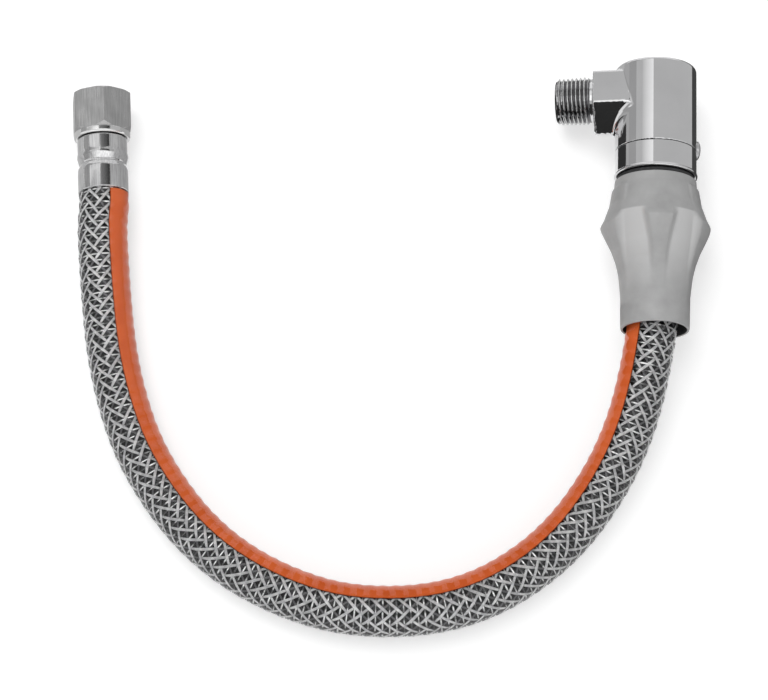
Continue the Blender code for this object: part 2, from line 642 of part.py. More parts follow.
def bezel():
    """Chrome mouth ring with a rolled lip, screwed into the socket by its spigot."""
    lip = SOCKET_RADIUS + BEZEL_LIP
    seam = SEAM_AT - GAP / 2
    outline = [
        (SPIGOT_RADIUS, CARTRIDGE_AT - GAP), (SPIGOT_RADIUS, seam), (SOCKET_RADIUS - 0.25 * MM, seam),
        (SOCKET_RADIUS, seam - 0.25 * MM), (SOCKET_RADIUS, BEZEL_START + 1.3 * MM),
        (lip, BEZEL_START + 0.9 * MM), (lip, BEZEL_START + 0.4 * MM), (SOCKET_RADIUS - 0.3 * MM, BEZEL_START),
        (BEZEL_BORE + 0.6 * MM, BEZEL_START), (BEZEL_BORE, BEZEL_START + 0.6 * MM),
        (BEZEL_BORE, CARTRIDGE_AT - GAP),
    ]
    piece = turned("bezel_ring", outline, SOCKET_SLIDE, "chrome", steps=36)
    hole_end = SPIGOT_RADIUS + 1.0 * MM
    hole = rod("bezel_pin_hole", PIN_RADIUS + GAP, PIN_TIP - 1.7 * MM, hole_end, PIN_AXIS, steps=20)
    combine(piece, hole, "DIFFERENCE")
    return piece


def bayonet_pin():
    """Pin with a domed head outside the socket and its tip in the cam groove."""
    seat = SOCKET_RADIUS * math.cos(math.asin(PIN_HEAD_RADIUS / SOCKET_RADIUS))
    crown = SOCKET_RADIUS + PIN_HEAD_HEIGHT
    outline = [
        (0.0, crown), (1.6 * MM, crown - 0.12 * MM), (2.9 * MM, crown - 0.55 * MM),
        (3.8 * MM, crown - 1.15 * MM), (PIN_HEAD_RADIUS, crown - 1.75 * MM), (PIN_HEAD_RADIUS, seat),
        (PIN_RADIUS, seat), (PIN_RADIUS, PIN_TIP), (0.0, PIN_TIP),
    ]
    return turned("bayonet_pin", outline, PIN_AXIS, "chrome", steps=28)


def elbow():
    """Forged elbow: round body, hexagon block, neck and threaded nipple, bored from both ends."""
    round_edge = 1.8 * MM
    seam = SEAM_AT + GAP / 2
    dome = []
    for i in range(5):
        turn = math.radians(22.5 * i)
        radius = SOCKET_RADIUS - round_edge + round_edge * math.sin(turn)
        dome.append((radius, SOCKET_TOP - round_edge + round_edge * math.cos(turn)))
    outline = [(0.0, SOCKET_TOP)] + dome
    outline += [(SOCKET_RADIUS, seam + 0.25 * MM), (SOCKET_RADIUS - 0.25 * MM, seam), (0.0, seam)]
    body = turned("elbow_body", outline, SOCKET_SLIDE, "chrome", steps=36)
    block = prism("arm_block", BLOCK_ACROSS_FLATS, -BLOCK_TURN, BLOCK_START, BLOCK_END, ARM, BLOCK_CHAMFER)
    root = NECK_END + 0.4 * MM
    nipple = turned(
        "arm_nipple",
        [
            (0.0, NIPPLE_END), (NIPPLE_TIP_RADIUS - 0.9 * MM, NIPPLE_END),
            (NIPPLE_TIP_RADIUS, NIPPLE_END - 0.9 * MM), (NIPPLE_ROOT_RADIUS, root), (NECK_RADIUS, NECK_END),
            (NECK_RADIUS, BLOCK_START + MM), (0.0, BLOCK_START + MM),
        ],
        ARM,
        steps=36,
    )
    shoulder = CARTRIDGE_AT + CARTRIDGE_FLANGE + GAP
    spigot_bore = SPIGOT_RADIUS + GAP
    chamber = turned(
        "socket_chamber",
        [
            (0.0, SOCKET_TOP - SOCKET_TOP_WALL), (CHAMBER_RADIUS, SOCKET_TOP - SOCKET_TOP_WALL),
            (CHAMBER_RADIUS, shoulder), (spigot_bore, shoulder), (spigot_bore, seam - 2.0 * MM),
            (0.0, seam - 2.0 * MM),
        ],
        SOCKET_SLIDE,
    )
    bore = rod("arm_bore", ARM_BORE, 0.0, NIPPLE_END + 2.0 * MM, ARM)
    outside = SOCKET_RADIUS + 4.0 * MM
    hole = rod("body_pin_hole", PIN_RADIUS + GAP, PIN_TIP - 1.7 * MM, outside, PIN_AXIS, steps=20)
    seat = SOCKET_RADIUS * math.cos(math.asin(PIN_HEAD_RADIUS / SOCKET_RADIUS)) - GAP
    spot_face = rod("pin_spot_face", PIN_HEAD_RADIUS + GAP, seat, outside, PIN_AXIS, steps=28)
    for other in (block, nipple):
        combine(body, other, "UNION")
    for other in (chamber, bore, hole, spot_face):
        combine(body, other, "DIFFERENCE")
    combine(bpy.data.objects["bezel_ring"], spot_face, "DIFFERENCE")
    return body


bezel()
bayonet_pin()
elbow()


def valve_cartridge():
    """Brass cartridge: flange under the spigot, bore for the plug's seals, valve seat with a lip."""
    seal_groove = CARTRIDGE_SEAL_RADIUS - 1.1 * MM
    body = CHAMBER_RADIUS - GAP
    half = ORING_RADIUS + 0.25 * MM
    outline = [
        (SEAT_LIP_RADIUS - 0.4 * MM, CARTRIDGE_TOP + SEAT_LIP), (SEAT_LIP_RADIUS, CARTRIDGE_TOP),
        (body, CARTRIDGE_TOP), (body, CARTRIDGE_SEAL_AT + half), (seal_groove, CARTRIDGE_SEAL_AT + half),
        (seal_groove, CARTRIDGE_SEAL_AT - half), (body, CARTRIDGE_SEAL_AT - half),
        (body, CARTRIDGE_AT + CARTRIDGE_FLANGE), (SPIGOT_RADIUS, CARTRIDGE_AT + CARTRIDGE_FLANGE),
        (SPIGOT_RADIUS, CARTRIDGE_AT), (SEAL_BORE, CARTRIDGE_AT), (SEAL_BORE, SEAT_STEP_AT),
        (SEAT_BORE, SEAT_STEP_AT), (SEAT_BORE, CARTRIDGE_TOP + SEAT_LIP),
    ]
    return turned("valve_cartridge", outline, SOCKET_SLIDE, "brass")


SEAL_LOW = CARTRIDGE_TOP + SEAT_LIP + UNLOCK_STROKE + GAP
DISC_LOW = SEAL_LOW + POPPET_SEAL + GAP
DISC_TOP = DISC_LOW + POPPET_DISC


def poppet():
    """Valve disc on crossed guide wings that stand on the plug's nose, with a boss for the spring."""
    outline = [
        (0.0, DISC_TOP + BOSS_HEIGHT), (BOSS_RADIUS - 0.4 * MM, DISC_TOP + BOSS_HEIGHT),
        (BOSS_RADIUS, DISC_TOP + BOSS_HEIGHT - 0.4 * MM), (BOSS_RADIUS, DISC_TOP), (POPPET_RADIUS, DISC_TOP),
        (POPPET_RADIUS, DISC_LOW), (0.0, DISC_LOW),
    ]
    disc = turned("valve_poppet", outline, VALVE_SLIDE, "brass")
    low = SHANK_END + GAP
    high = DISC_LOW + 0.5 * MM
    for turn in (0.0, math.pi / 2):
        size = (2 * WING_RADIUS, WING_THICKNESS, high - low)
        wing = box("wing", size, (0.0, 0.0, (low + high) / 2), VALVE_SLIDE, turn)
        combine(disc, wing, "UNION")
    return disc


def spring():
    """Closing spring between the poppet and the blind end of the chamber."""
    low = DISC_TOP + GAP + SPRING_WIRE
    high = SOCKET_TOP - SOCKET_TOP_WALL - GAP - SPRING_WIRE
    count = 12 * SPRING_TURNS + 1
    path = []
    for i in range(count):
        share = i / (count - 1)
        turn = 2 * math.pi * SPRING_TURNS * share
        height = low + (high - low) * share
        path.append((SPRING_RADIUS * math.cos(turn), SPRING_RADIUS * math.sin(turn), height))
    return curve_mesh("valve_spring", path, SPRING_WIRE, SOCKET_SLIDE, "spring_steel", sides=2)


valve_cartridge()
o_ring("cartridge_seal", CARTRIDGE_SEAL_RADIUS, ORING_RADIUS - 0.05 * MM, CARTRIDGE_SEAL_AT, SOCKET_SLIDE)
poppet()
ring(
    "poppet_seal", POPPET_RADIUS - 0.3 * MM, WING_RADIUS + GAP, SEAL_LOW, SEAL_LOW + POPPET_SEAL,
    VALVE_SLIDE, "rubber",
)
spring()

for shaped in PARTS.objects:
    if shaped.type == "MESH":
        shaped.data.shade_smooth()
        shaped.data.set_sharp_from_angle(angle=math.radians(35.0))
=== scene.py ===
import math

import bmesh
import bpy
import numpy as np
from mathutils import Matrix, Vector


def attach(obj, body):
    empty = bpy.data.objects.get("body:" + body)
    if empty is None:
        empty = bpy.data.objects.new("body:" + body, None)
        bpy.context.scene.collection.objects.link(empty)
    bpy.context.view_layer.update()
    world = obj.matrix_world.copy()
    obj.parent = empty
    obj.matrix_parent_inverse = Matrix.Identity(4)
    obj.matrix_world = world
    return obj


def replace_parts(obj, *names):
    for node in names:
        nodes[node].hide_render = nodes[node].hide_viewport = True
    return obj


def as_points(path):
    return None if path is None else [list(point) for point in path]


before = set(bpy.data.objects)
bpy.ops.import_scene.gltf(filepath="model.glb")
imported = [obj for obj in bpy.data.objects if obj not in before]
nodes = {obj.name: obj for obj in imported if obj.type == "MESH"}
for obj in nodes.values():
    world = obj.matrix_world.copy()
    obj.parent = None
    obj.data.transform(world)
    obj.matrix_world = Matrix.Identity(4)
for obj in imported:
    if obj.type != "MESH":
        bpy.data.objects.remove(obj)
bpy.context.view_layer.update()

MM = 0.001

# Camera
# It looks down on the hose from just over a metre, a little from the side of the hose's bend.


def placed(name, data):
    """A new object with its data, in the scene."""
    made = bpy.data.objects.new(name, data)
    bpy.context.scene.collection.objects.link(made)
    return made


camera_data = bpy.data.cameras.new("camera")
camera_data.lens = 121.7
camera_data.sensor_width = 36.0
camera = placed("camera", camera_data)
camera.location = (11.39 * MM, -371.34 * MM, 1067.39 * MM)
aim = Vector((1.5 * MM, -68.3 * MM, 10.0 * MM)) - camera.location
camera.rotation_euler = aim.to_track_quat("-Z", "Y").to_euler()
bpy.context.scene.camera = camera

# Hose route
# The hose runs from the left ferrule's edge round the bend into the plug's ferrule inside the grip.
# It lies on the floor in the bend and rises at both ends to the axes of the fittings.
LEFT_EDGE = np.array((-121.1, -3.6, 13.578)) * MM
LEFT_LEAN = math.radians(4.85)
LEFT_ALONG = np.array((-math.sin(LEFT_LEAN), math.cos(LEFT_LEAN), 0.0))
GRIP_MOUTH = np.array((114.9, -59.6, 22.89)) * MM
RIGHT_ALONG = np.array((0.0, 1.0, 0.0))
UPWARDS = np.array((0.0, 0.0, 1.0))
PLUG_FERRULE_AT = 25.0 * MM
HOSE_LEAD = 6.0 * MM
HOSE_STEP = 0.8 * MM
END_GAP = 0.3 * MM
HOSE_ROUTE = [
    (-120.7, -15.6, 13.3), (-119.8, -28.5, 12.5), (-118.6, -39.4, 11.8), (-117.2, -50.3, 11.1),
    (-113.6, -72.4, 10.75), (-107.8, -94.1, 10.75), (-99.3, -114.9, 10.75), (-87.4, -133.8, 10.75),
    (-72.7, -150.5, 10.75), (-55.2, -163.8, 10.75), (-35.9, -173.2, 10.75), (-15.5, -179.0, 10.75),
    (5.3, -180.4, 10.75), (25.7, -178.2, 10.75), (45.1, -171.9, 10.75), (62.2, -161.7, 10.75),
    (77.3, -148.2, 10.8), (89.5, -132.4, 11.9), (99.4, -114.8, 14.3), (106.5, -95.9, 17.3),
    (111.1, -75.9, 20.2), (113.6, -59.7, 22.0), (114.6, -50.5, 22.7),
]


def smooth_path(knots, step):
    """Points a step apart on the natural cubic spline through the knots, by chord length."""
    chord = np.r_[0.0, np.cumsum(np.linalg.norm(np.diff(knots, axis=0), axis=1))]
    span = np.diff(chord)
    slope = np.diff(knots, axis=0) / span[:, None]
    matrix = np.eye(len(knots))
    inner = np.arange(1, len(knots) - 1)
    matrix[inner, inner - 1] = span[:-1]
    matrix[inner, inner] = 2 * (span[:-1] + span[1:])
    matrix[inner, inner + 1] = span[1:]
    right = np.zeros_like(knots)
    right[inner] = 6 * np.diff(slope, axis=0)
    bend = np.linalg.solve(matrix, right)
    places = np.linspace(0.0, chord[-1], round(chord[-1] / step) + 1)
    piece = np.clip(np.searchsorted(chord, places, side="right") - 1, 0, len(span) - 1)
    a = (chord[piece + 1] - places)[:, None]
    b = (places - chord[piece])[:, None]
    width = span[piece][:, None]
    return (
        (bend[piece] * a**3 + bend[piece + 1] * b**3) / (6 * width)
        + (knots[piece] / width - bend[piece] * width / 6) * a
        + (knots[piece + 1] / width - bend[piece + 1] * width / 6) * b
    )


hose_start = LEFT_EDGE - END_GAP * LEFT_ALONG
hose_end = GRIP_MOUTH + (PLUG_FERRULE_AT - END_GAP) * RIGHT_ALONG
knots = np.vstack([
    hose_start,
    LEFT_EDGE - HOSE_LEAD * LEFT_ALONG,
    np.array(HOSE_ROUTE) * MM,
    hose_end - HOSE_LEAD * RIGHT_ALONG,
    hose_end,
])
hose_line = smooth_path(knots, HOSE_STEP)
hose_run = np.r_[0.0, np.cumsum(np.linalg.norm(np.diff(hose_line, axis=0), axis=1))]
hose_length = hose_run[-1]
hose_tangent = np.gradient(hose_line, hose_run, axis=0)
hose_tangent /= np.linalg.norm(hose_tangent, axis=1)[:, None]
hose_inward = np.cross(UPWARDS, hose_tangent)
hose_inward /= np.linalg.norm(hose_inward, axis=1)[:, None]
hose_upward = np.cross(hose_tangent, hose_inward)

# The braid and the tube reach on, straight, into the ferrules at both ends.
INSET = 8.4 * MM
layer_run = np.r_[-INSET, hose_run, hose_length + INSET]
layer_line = np.vstack([
    hose_line[0] - INSET * hose_tangent[0], hose_line, hose_line[-1] + INSET * hose_tangent[-1],
])
layer_upward = np.vstack([hose_upward[:1], hose_upward, hose_upward[-1:]])
layer_inward = np.vstack([hose_inward[:1], hose_inward, hose_inward[-1:]])


def around_hose(run, angle, radius):
    """Points at a run along the hose, an angle from its top towards the bend's inside, and a radius."""
    run, angle, radius = np.broadcast_arrays(run, angle, radius)
    middle, up, inward = (
        np.stack([np.interp(run, layer_run, axis[:, k]) for k in range(3)], -1)
        for axis in (layer_line, layer_upward, layer_inward)
    )
    outward = np.cos(angle)[..., None] * up + np.sin(angle)[..., None] * inward
    return middle + radius[..., None] * outward


# Clear cover of the hose
# One extruded sleeve of clear soft plastic over the wire braid. It has a slight wave at each of the
# braid's crossings.
COVER_RADIUS = 10.65 * MM
COVER_WAVE = 0.14 * MM
COVER_COLUMNS = 56
BRAID_STRANDS = 12
BRAID_LEAD = 68.0 * MM
WEAVE_PITCH = BRAID_LEAD / BRAID_STRANDS


def weld(mesh, reach):
    """Merges the points of a mesh that lie within a reach of each other."""
    form = bmesh.new()
    form.from_mesh(mesh)
    bmesh.ops.remove_doubles(form, verts=form.verts, dist=reach)
    form.to_mesh(mesh)
    form.free()


def skin(name, grids, material, body, loop=False, uv=None, lift=None, sharp=40.0):
    """One closed mesh over grids of points: columns go round, rows go on, and points that meet are merged.

    With loop the last row joins the first. uv gives the values along the rows and round the columns, and lift
    one value for each point. The winding is turned over where the volume inside would be negative.
    """
    points = []
    corners = []
    places = []
    for grid in grids:
        rows, columns = grid.shape[:2]
        i, j = np.meshgrid(np.arange(rows if loop else rows - 1), np.arange(columns), indexing="ij")
        base = sum(len(block) for block in points)
        step_i = (0, 0, 1, 1)
        step_j = (0, 1, 1, 0)
        quads = [base + (i + m) % rows * columns + (j + n) % columns for m, n in zip(step_i, step_j)]
        corners.append(np.stack(quads, -1).reshape(-1, 4))
        points.append(grid.reshape(-1, 3))
        if uv is not None:
            along, around = uv
            pair = [np.stack([along[i + m], around[j + n]], -1) for m, n in zip(step_i, step_j)]
            places.append(np.stack(pair, -2).reshape(-1, 4, 2))
    points = np.vstack(points)
    corners = np.vstack(corners)
    a, b, c, d = (points[corners[:, k]] for k in range(4))
    volume = np.einsum("ij,ij", a, np.cross(b, c)) + np.einsum("ij,ij", a, np.cross(c, d))
    order = [0, 1, 2, 3] if volume > 0 else [3, 2, 1, 0]
    mesh = bpy.data.meshes.new(name)
    mesh.vertices.add(len(points))
    mesh.vertices.foreach_set("co", points.ravel())
    mesh.loops.add(corners.size)
    mesh.loops.foreach_set("vertex_index", corners[:, order].ravel())
    mesh.polygons.add(len(corners))
    mesh.polygons.foreach_set("loop_start", np.arange(0, corners.size, 4))
    mesh.update(calc_edges=True)
    if uv is not None:
        layer = mesh.uv_layers.new(name="surface")
        layer.data.foreach_set("uv", np.vstack(places)[:, order].ravel())
    if lift is not None:
        heights = mesh.attributes.new("lift", "FLOAT", "POINT")
        values = np.concatenate([block.ravel() for block in lift])
        heights.data.foreach_set("value", values.astype(np.float32))
    weld(mesh, 1e-8)
    mesh.shade_smooth()
    mesh.set_sharp_from_angle(angle=math.radians(sharp))
    mesh.materials.append(material)
    piece = placed(name, mesh)
    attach(piece, body)
    return piece


def with_poles(grid):
    """The grid with its two ends drawn to a point in the middle of the end row."""
    first = np.broadcast_to(grid[0].mean(axis=0), grid[0].shape)
    last = np.broadcast_to(grid[-1].mean(axis=0), grid[-1].shape)
    return np.concatenate([first[None], grid, last[None]])


def node(tree, kind, inputs=None, **settings):
    """A shader node with its settings, and with its inputs set to constants or joined to other outputs."""
    made = tree.nodes.new(kind)
    for key, value in settings.items():
        setattr(made, key, value)
    for key, value in (inputs or {}).items():
        if isinstance(value, bpy.types.NodeSocket):
            tree.links.new(value, made.inputs[key])
        else:
            made.inputs[key].default_value = value
    return made


def finish(name, colour=(0.5, 0.5, 0.5, 1.0), **sockets):
    """A Principled material with its constants set on the shader's own sockets."""
    material = bpy.data.materials.new(name)
    material.use_nodes = True
    shader = material.node_tree.nodes["Principled BSDF"]
    shader.inputs["Base Color"].default_value = colour
    for key, value in sockets.items():
        shader.inputs[key.replace("_", " ")].default_value = value
    return material, material.node_tree, shader


def noise(tree, scale, detail, place=None):
    """Noise of 0 to 1 over the object's coordinates, or over a place given in their stead."""
    if place is None:
        place = node(tree, "ShaderNodeTexCoord").outputs["Object"]
    return node(tree, "ShaderNodeTexNoise", {"Vector": place, "Scale": scale, "Detail": detail}).outputs[0]


def bumped(tree, shader, height, distance, strength=1.0):
    """A height given to the shader as small bumps, of a distance between its 0 and its 1."""
    bump = node(tree, "ShaderNodeBump", {"Height": height, "Distance": distance, "Strength": strength})
    tree.links.new(bump.outputs[0], shader.inputs["Normal"])


cover_finish, tree, shader = finish(
    "clear_cover", (1.0, 1.0, 1.0, 1.0), Roughness=0.03, IOR=1.4, Transmission_Weight=1.0
)
bumped(tree, shader, noise(tree, 260.0, 1.0), 0.05 * MM, 0.6)
path_of_light = node(tree, "ShaderNodeLightPath")
clear = node(tree, "ShaderNodeBsdfTransparent")
both = node(
    tree, "ShaderNodeMixShader",
    {0: path_of_light.outputs["Is Shadow Ray"], 1: shader.outputs[0], 2: clear.outputs[0]},
)
tree.links.new(both.outputs[0], tree.nodes["Material Output"].inputs["Surface"])

turn = np.linspace(0.0, 2 * np.pi, COVER_COLUMNS, endpoint=False)
cover_radius = COVER_RADIUS + COVER_WAVE * np.cos(2 * np.pi * hose_run / WEAVE_PITCH)
cover_grid = around_hose(hose_run[:, None], turn[None, :], cover_radius[:, None])
cover = skin("hose_cover", [with_poles(cover_grid)], cover_finish, "hose")
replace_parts(cover, "hose_jacket")

# Corrugated tube
# A thin stainless tube with round waves, which carries the gas. Its crests are painted bright as a highlight
# between the braid's wires, and its valleys and inside are painted dark as shade.
TUBE_CREST = 8.2 * MM
TUBE_WAVE = 1.1 * MM
TUBE_WALL = 0.3 * MM
TUBE_PITCH = WEAVE_PITCH / 2
ROWS_PER_WAVE = 8
TUBE_COLUMNS = 36
TUBE_INSIDE_ROWS = 160


def paint(red, green, blue):
    """A screen colour of 0 to 255 as the linear colour that a shader takes."""
    share = np.array((red, green, blue)) / 255
    linear = np.where(share <= 0.04045, share / 12.92, ((share + 0.055) / 1.055) ** 2.4)
    return (*linear.tolist(), 1.0)


def scaled(tree, value, low, high, to_low, to_high):
    """A value moved from one range to another, and held inside it."""
    inputs = {"Value": value, "From Min": low, "From Max": high, "To Min": to_low, "To Max": to_high}
    return node(tree, "ShaderNodeMapRange", inputs).outputs["Result"]


def calculated(tree, operation, first, second=0.0):
    """One sum, product or other operation on two values."""
    return node(tree, "ShaderNodeMath", {0: first, 1: second}, operation=operation).outputs[0]


def mixed(tree, factor, first, second):
    """Two colours mixed by a factor."""
    mix = node(tree, "ShaderNodeMix", {"Factor": factor}, data_type="RGBA")
    for socket, value in ((mix.inputs[6], first), (mix.inputs[7], second)):
        if isinstance(value, bpy.types.NodeSocket):
            tree.links.new(value, socket)
        else:
            socket.default_value = value
    return mix.outputs[2]


def lift_of(tree):
    """The value that the skin stores for each of its points."""
    return node(tree, "ShaderNodeAttribute", attribute_name="lift").outputs["Fac"]


tube_finish, tree, shader = finish("stainless_waves", Metallic=0.5, Roughness=0.36)
# The crests' colour is a painted highlight, broken into patches by noise; the valleys and the inside are
# painted near black as shade.
on_crest = scaled(tree, lift_of(tree), 0.82, 0.98, 0.0, 1.0)
highlight_patchiness = scaled(tree, noise(tree, 330.0, 2.0), 0.42, 0.56, 0.1, 1.0)
painted_crest_highlight = calculated(tree, "MULTIPLY", on_crest, highlight_patchiness)
tree.links.new(mixed(tree, painted_crest_highlight, paint(26, 26, 27), paint(252, 252, 252)), shader.inputs["Base Color"])

tube_turn = np.linspace(0.0, 2 * np.pi, TUBE_COLUMNS, endpoint=False)
tube_run = np.arange(-INSET, hose_length + INSET, TUBE_PITCH / ROWS_PER_WAVE)
wave = 0.5 + 0.5 * np.cos(2 * np.pi * tube_run / TUBE_PITCH)
tube_radius = TUBE_CREST - TUBE_WAVE * (1 - wave)
inner_run = np.linspace(tube_run[-1], -INSET, TUBE_INSIDE_ROWS)
tube_outside = around_hose(tube_run[:, None], tube_turn[None, :], tube_radius[:, None])
tube_inside = around_hose(inner_run[:, None], tube_turn[None, :], TUBE_CREST - TUBE_WAVE - TUBE_WALL)
tube_lift = np.repeat(np.r_[wave, np.zeros(len(inner_run))][:, None], TUBE_COLUMNS, axis=1)
tube = skin(
    "corrugated_tube_waves", [np.concatenate([tube_outside, tube_inside])], tube_finish, "hose",
    loop=True, lift=[tube_lift], sharp=75.0,
)
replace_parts(tube, "corrugated_tube")

# Wire braid
# Two families of flat bundles of bright wire, wound left and right on the tube. Each bundle passes over two
# of the other family and then under two, and its ends lie inside the ferrules.
STRAND_RADIUS = 9.2 * MM
STRAND_SWING = 0.3 * MM
STRAND_TUCK = 0.7 * MM  # how much closer the bundles lie inside the ferrules
TUCK_RUN = 3.0 * MM  # the run over which they draw in
STRAND_HALF_WIDTH = 0.56 * MM
STRAND_HALF_THICKNESS = 0.15 * MM
STRAND_STEP = 1.0 * MM
OVER_SHARE = 0.25  # how much longer a bundle shows over the others than under them
SWING_SLOPE = 2.2  # how quickly a bundle passes from over to under
SHADE_SLOPE = 3.0  # how quickly its painted shade changes there
BRAID_TURN = math.radians(-4.5)


def strand(run, sign, index):
    """A flat bundle on a helix: its angle grows with the run, and a cosine swings it over and under.

    It gives the grid of points and, for each point, a height of 1 where the bundle lies over and 0 under.
    """
    crossing = 2 * BRAID_STRANDS * run / BRAID_LEAD
    weave = OVER_SHARE - sign * np.cos(np.pi / 2 * (2 * index + sign * crossing - 0.5))
    swing = np.tanh(SWING_SLOPE * weave)
    angle = BRAID_TURN + 2 * np.pi * (index / BRAID_STRANDS + sign * run / BRAID_LEAD)
    from_end = np.clip(np.minimum(run, hose_length - run) / TUCK_RUN, 0.0, 1.0)
    radius = STRAND_RADIUS + STRAND_SWING * swing - STRAND_TUCK * (1 - from_end)
    middle = around_hose(run, angle, radius)
    outward = around_hose(run, angle, 1.0) - around_hose(run, angle, 0.0)
    ahead = np.gradient(middle, axis=0)
    sideways = np.cross(ahead, outward)
    sideways /= np.linalg.norm(sideways, axis=1)[:, None]
    section = np.radians(np.arange(0.0, 360.0, 60.0))
    half_width = STRAND_HALF_WIDTH * (0.85 + 0.15 * swing)[:, None, None]
    wide = half_width * np.cos(section)[None, :, None] * sideways[:, None]
    thick = STRAND_HALF_THICKNESS * np.sin(section)[None, :, None] * outward[:, None]
    height = 0.5 + 0.5 * np.tanh(SHADE_SLOPE * (weave + OVER_SHARE))
    height = np.r_[height[0], height, height[-1]]
    return with_poles(middle[:, None] + wide + thick), np.repeat(height[:, None], len(section), axis=1)


def blended(tree, value, low, high, first, second):
    """One colour below a low value, another above a high one, and a mix of them between."""
    return mixed(tree, scaled(tree, value, low, high, 0.0, 1.0), first, second)


braid_finish, tree, shader = finish("bright_wire", Metallic=0.5, Roughness=0.34)
surface = node(tree, "ShaderNodeUVMap", uv_map="surface").outputs[0]
wires = node(
    tree, "ShaderNodeTexWave", {"Vector": surface, "Scale": 1.6, "Distortion": 0.4}, bands_direction="Y",
)
light = blended(tree, noise(tree, 420.0, 2.0), 0.35, 0.65, paint(206, 206, 208), paint(250, 250, 250))
# Painted shade: dark lines between the fine wires of a bundle, and a darker grey where a bundle passes under
# the other family.
with_painted_wire_shade = mixed(tree, scaled(tree, wires.outputs["Fac"], 0.0, 0.35, 0.4, 0.0), light, paint(70, 70, 72))
with_painted_under_shade = blended(tree, lift_of(tree), 0.25, 0.75, paint(104, 104, 106), with_painted_wire_shade)
tree.links.new(with_painted_under_shade, shader.inputs["Base Color"])
bumped(tree, shader, wires.outputs["Fac"], 0.06 * MM)

strand_run = np.arange(-INSET, hose_length + INSET, STRAND_STEP)
strand_rows = np.r_[strand_run[0], strand_run, strand_run[-1]] / MM
strands, heights = zip(
    *[strand(strand_run, sign, index) for sign in (1, -1) for index in range(BRAID_STRANDS)]
)
braid = skin(
    "wire_braid_strands", strands, braid_finish, "hose",
    uv=(strand_rows, np.arange(7.0)), lift=heights, sharp=80.0,
)
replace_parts(braid, "wire_braid")

# Orange stripe
# A band of orange plastic, extruded into the clear cover just under its skin, on the inside of the bend.
STRIPE_RADIUS = 10.3 * MM
STRIPE_THICKNESS = 0.25 * MM
STRIPE_WIDTH = math.radians(96.0)
STRIPE_EDGE = math.radians(20.0)
STRIPE_EDGE_AT_PLUG = math.radians(33.0)
STRIPE_TURN_FROM = 0.62  # share of the hose after which the band turns to its place at the plug
STRIPE_ROWS = 240
STRIPE_COLUMNS = 26
STRIPE_MARGIN = 0.5 * MM  # bare end inside the cover

stripe_finish, tree, shader = finish("orange_stripe", Roughness=0.6)
shader.inputs["Specular IOR Level"].default_value = 0.0
surface = node(tree, "ShaderNodeUVMap", uv_map="surface").outputs[0]
across = node(tree, "ShaderNodeSeparateXYZ", {0: surface})
orange = blended(tree, noise(tree, 90.0, 3.0), 0.3, 0.7, paint(186, 86, 42), paint(197, 97, 51))
edge = scaled(tree, across.outputs["Y"], 0.0, 0.035, 1.0, 0.0)
tree.links.new(mixed(tree, edge, orange, paint(50, 26, 18)), shader.inputs["Base Color"])

stripe_run = np.linspace(STRIPE_MARGIN, hose_length - STRIPE_MARGIN, STRIPE_ROWS)
share = np.linspace(0.0, 1.0, len(stripe_run))
ease = np.clip((share - STRIPE_TURN_FROM) / (1 - STRIPE_TURN_FROM), 0.0, 1.0)
first_edge = STRIPE_EDGE + (STRIPE_EDGE_AT_PLUG - STRIPE_EDGE) * ease * ease * (3 - 2 * ease)
across_stripe = np.linspace(0.0, 1.0, STRIPE_COLUMNS)
loop_share = np.r_[across_stripe, across_stripe[::-1]]
loop_radius = np.repeat([STRIPE_RADIUS, STRIPE_RADIUS - STRIPE_THICKNESS], STRIPE_COLUMNS)
stripe_grid = around_hose(
    stripe_run[:, None], first_edge[:, None] + STRIPE_WIDTH * loop_share[None, :], loop_radius[None, :]
)
stripe = skin(
    "orange_stripe", [with_poles(stripe_grid)], stripe_finish, "hose",
    uv=(np.r_[0.0, stripe_run, stripe_run[-1]], np.r_[loop_share, 0.0]),
)
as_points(hose_line[::5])

# Pressed ferrule of the hexagon end
# A drawn steel sleeve, polished and then rolled: the groove bites into the tail, and a bead stands beside it.
FERRULE_RADIUS = 10.9 * MM
FERRULE_BORE = 8.85 * MM
FERRULE_LENGTH = 24.3 * MM
GROOVE_AT = 12.4 * MM
TURNED_COLUMNS = 128


def along_fitting(origin, along, upwards):
    """A function from (across, up, along) about a fitting's axis to the object's frame."""
    across_axis = np.cross(along, upwards)

    def place(across, up, run):
        across, up, run = np.broadcast_arrays(across, up, run)
        return origin + across[..., None] * across_axis + up[..., None] * upwards + run[..., None] * along

    return place


def softened(corners, size, closed=False):
    """An outline whose corners are each cut back by a length and bridged by a parabola of five points."""
    corners = np.array(corners, float)
    before = np.roll(corners, 1, axis=0) - corners
    after = np.roll(corners, -1, axis=0) - corners
    before_length = np.maximum(np.linalg.norm(before, axis=1), 1e-9)
    after_length = np.maximum(np.linalg.norm(after, axis=1), 1e-9)
    reach = np.minimum(np.minimum(size, 0.45 * before_length), 0.45 * after_length)[:, None]
    start = (corners + before / before_length[:, None] * reach)[:, None]
    end = (corners + after / after_length[:, None] * reach)[:, None]
    t = np.linspace(0.0, 1.0, 5)[None, :, None]
    outline = (1 - t) ** 2 * start + 2 * t * (1 - t) * corners[:, None] + t**2 * end
    if closed:
        return outline.reshape(-1, 2)
    return np.vstack([corners[:1], outline[1:-1].reshape(-1, 2), corners[-1:]])


def turned(outline, place, columns=TURNED_COLUMNS):
    """A grid of points: the (radius, run) outline turned about a fitting's axis."""
    angle = np.linspace(0.0, 2 * np.pi, columns, endpoint=False)[None, :]
    radius = outline[:, :1]
    return place(radius * np.sin(angle), radius * np.cos(angle), outline[:, 1:])


def weighted(piece):
    """Normals that follow the large faces, so that a flat or round side stays true beside a narrow edge."""
    modifier = piece.modifiers.new("normals", "WEIGHTED_NORMAL")
    modifier.keep_sharp = True
    return piece


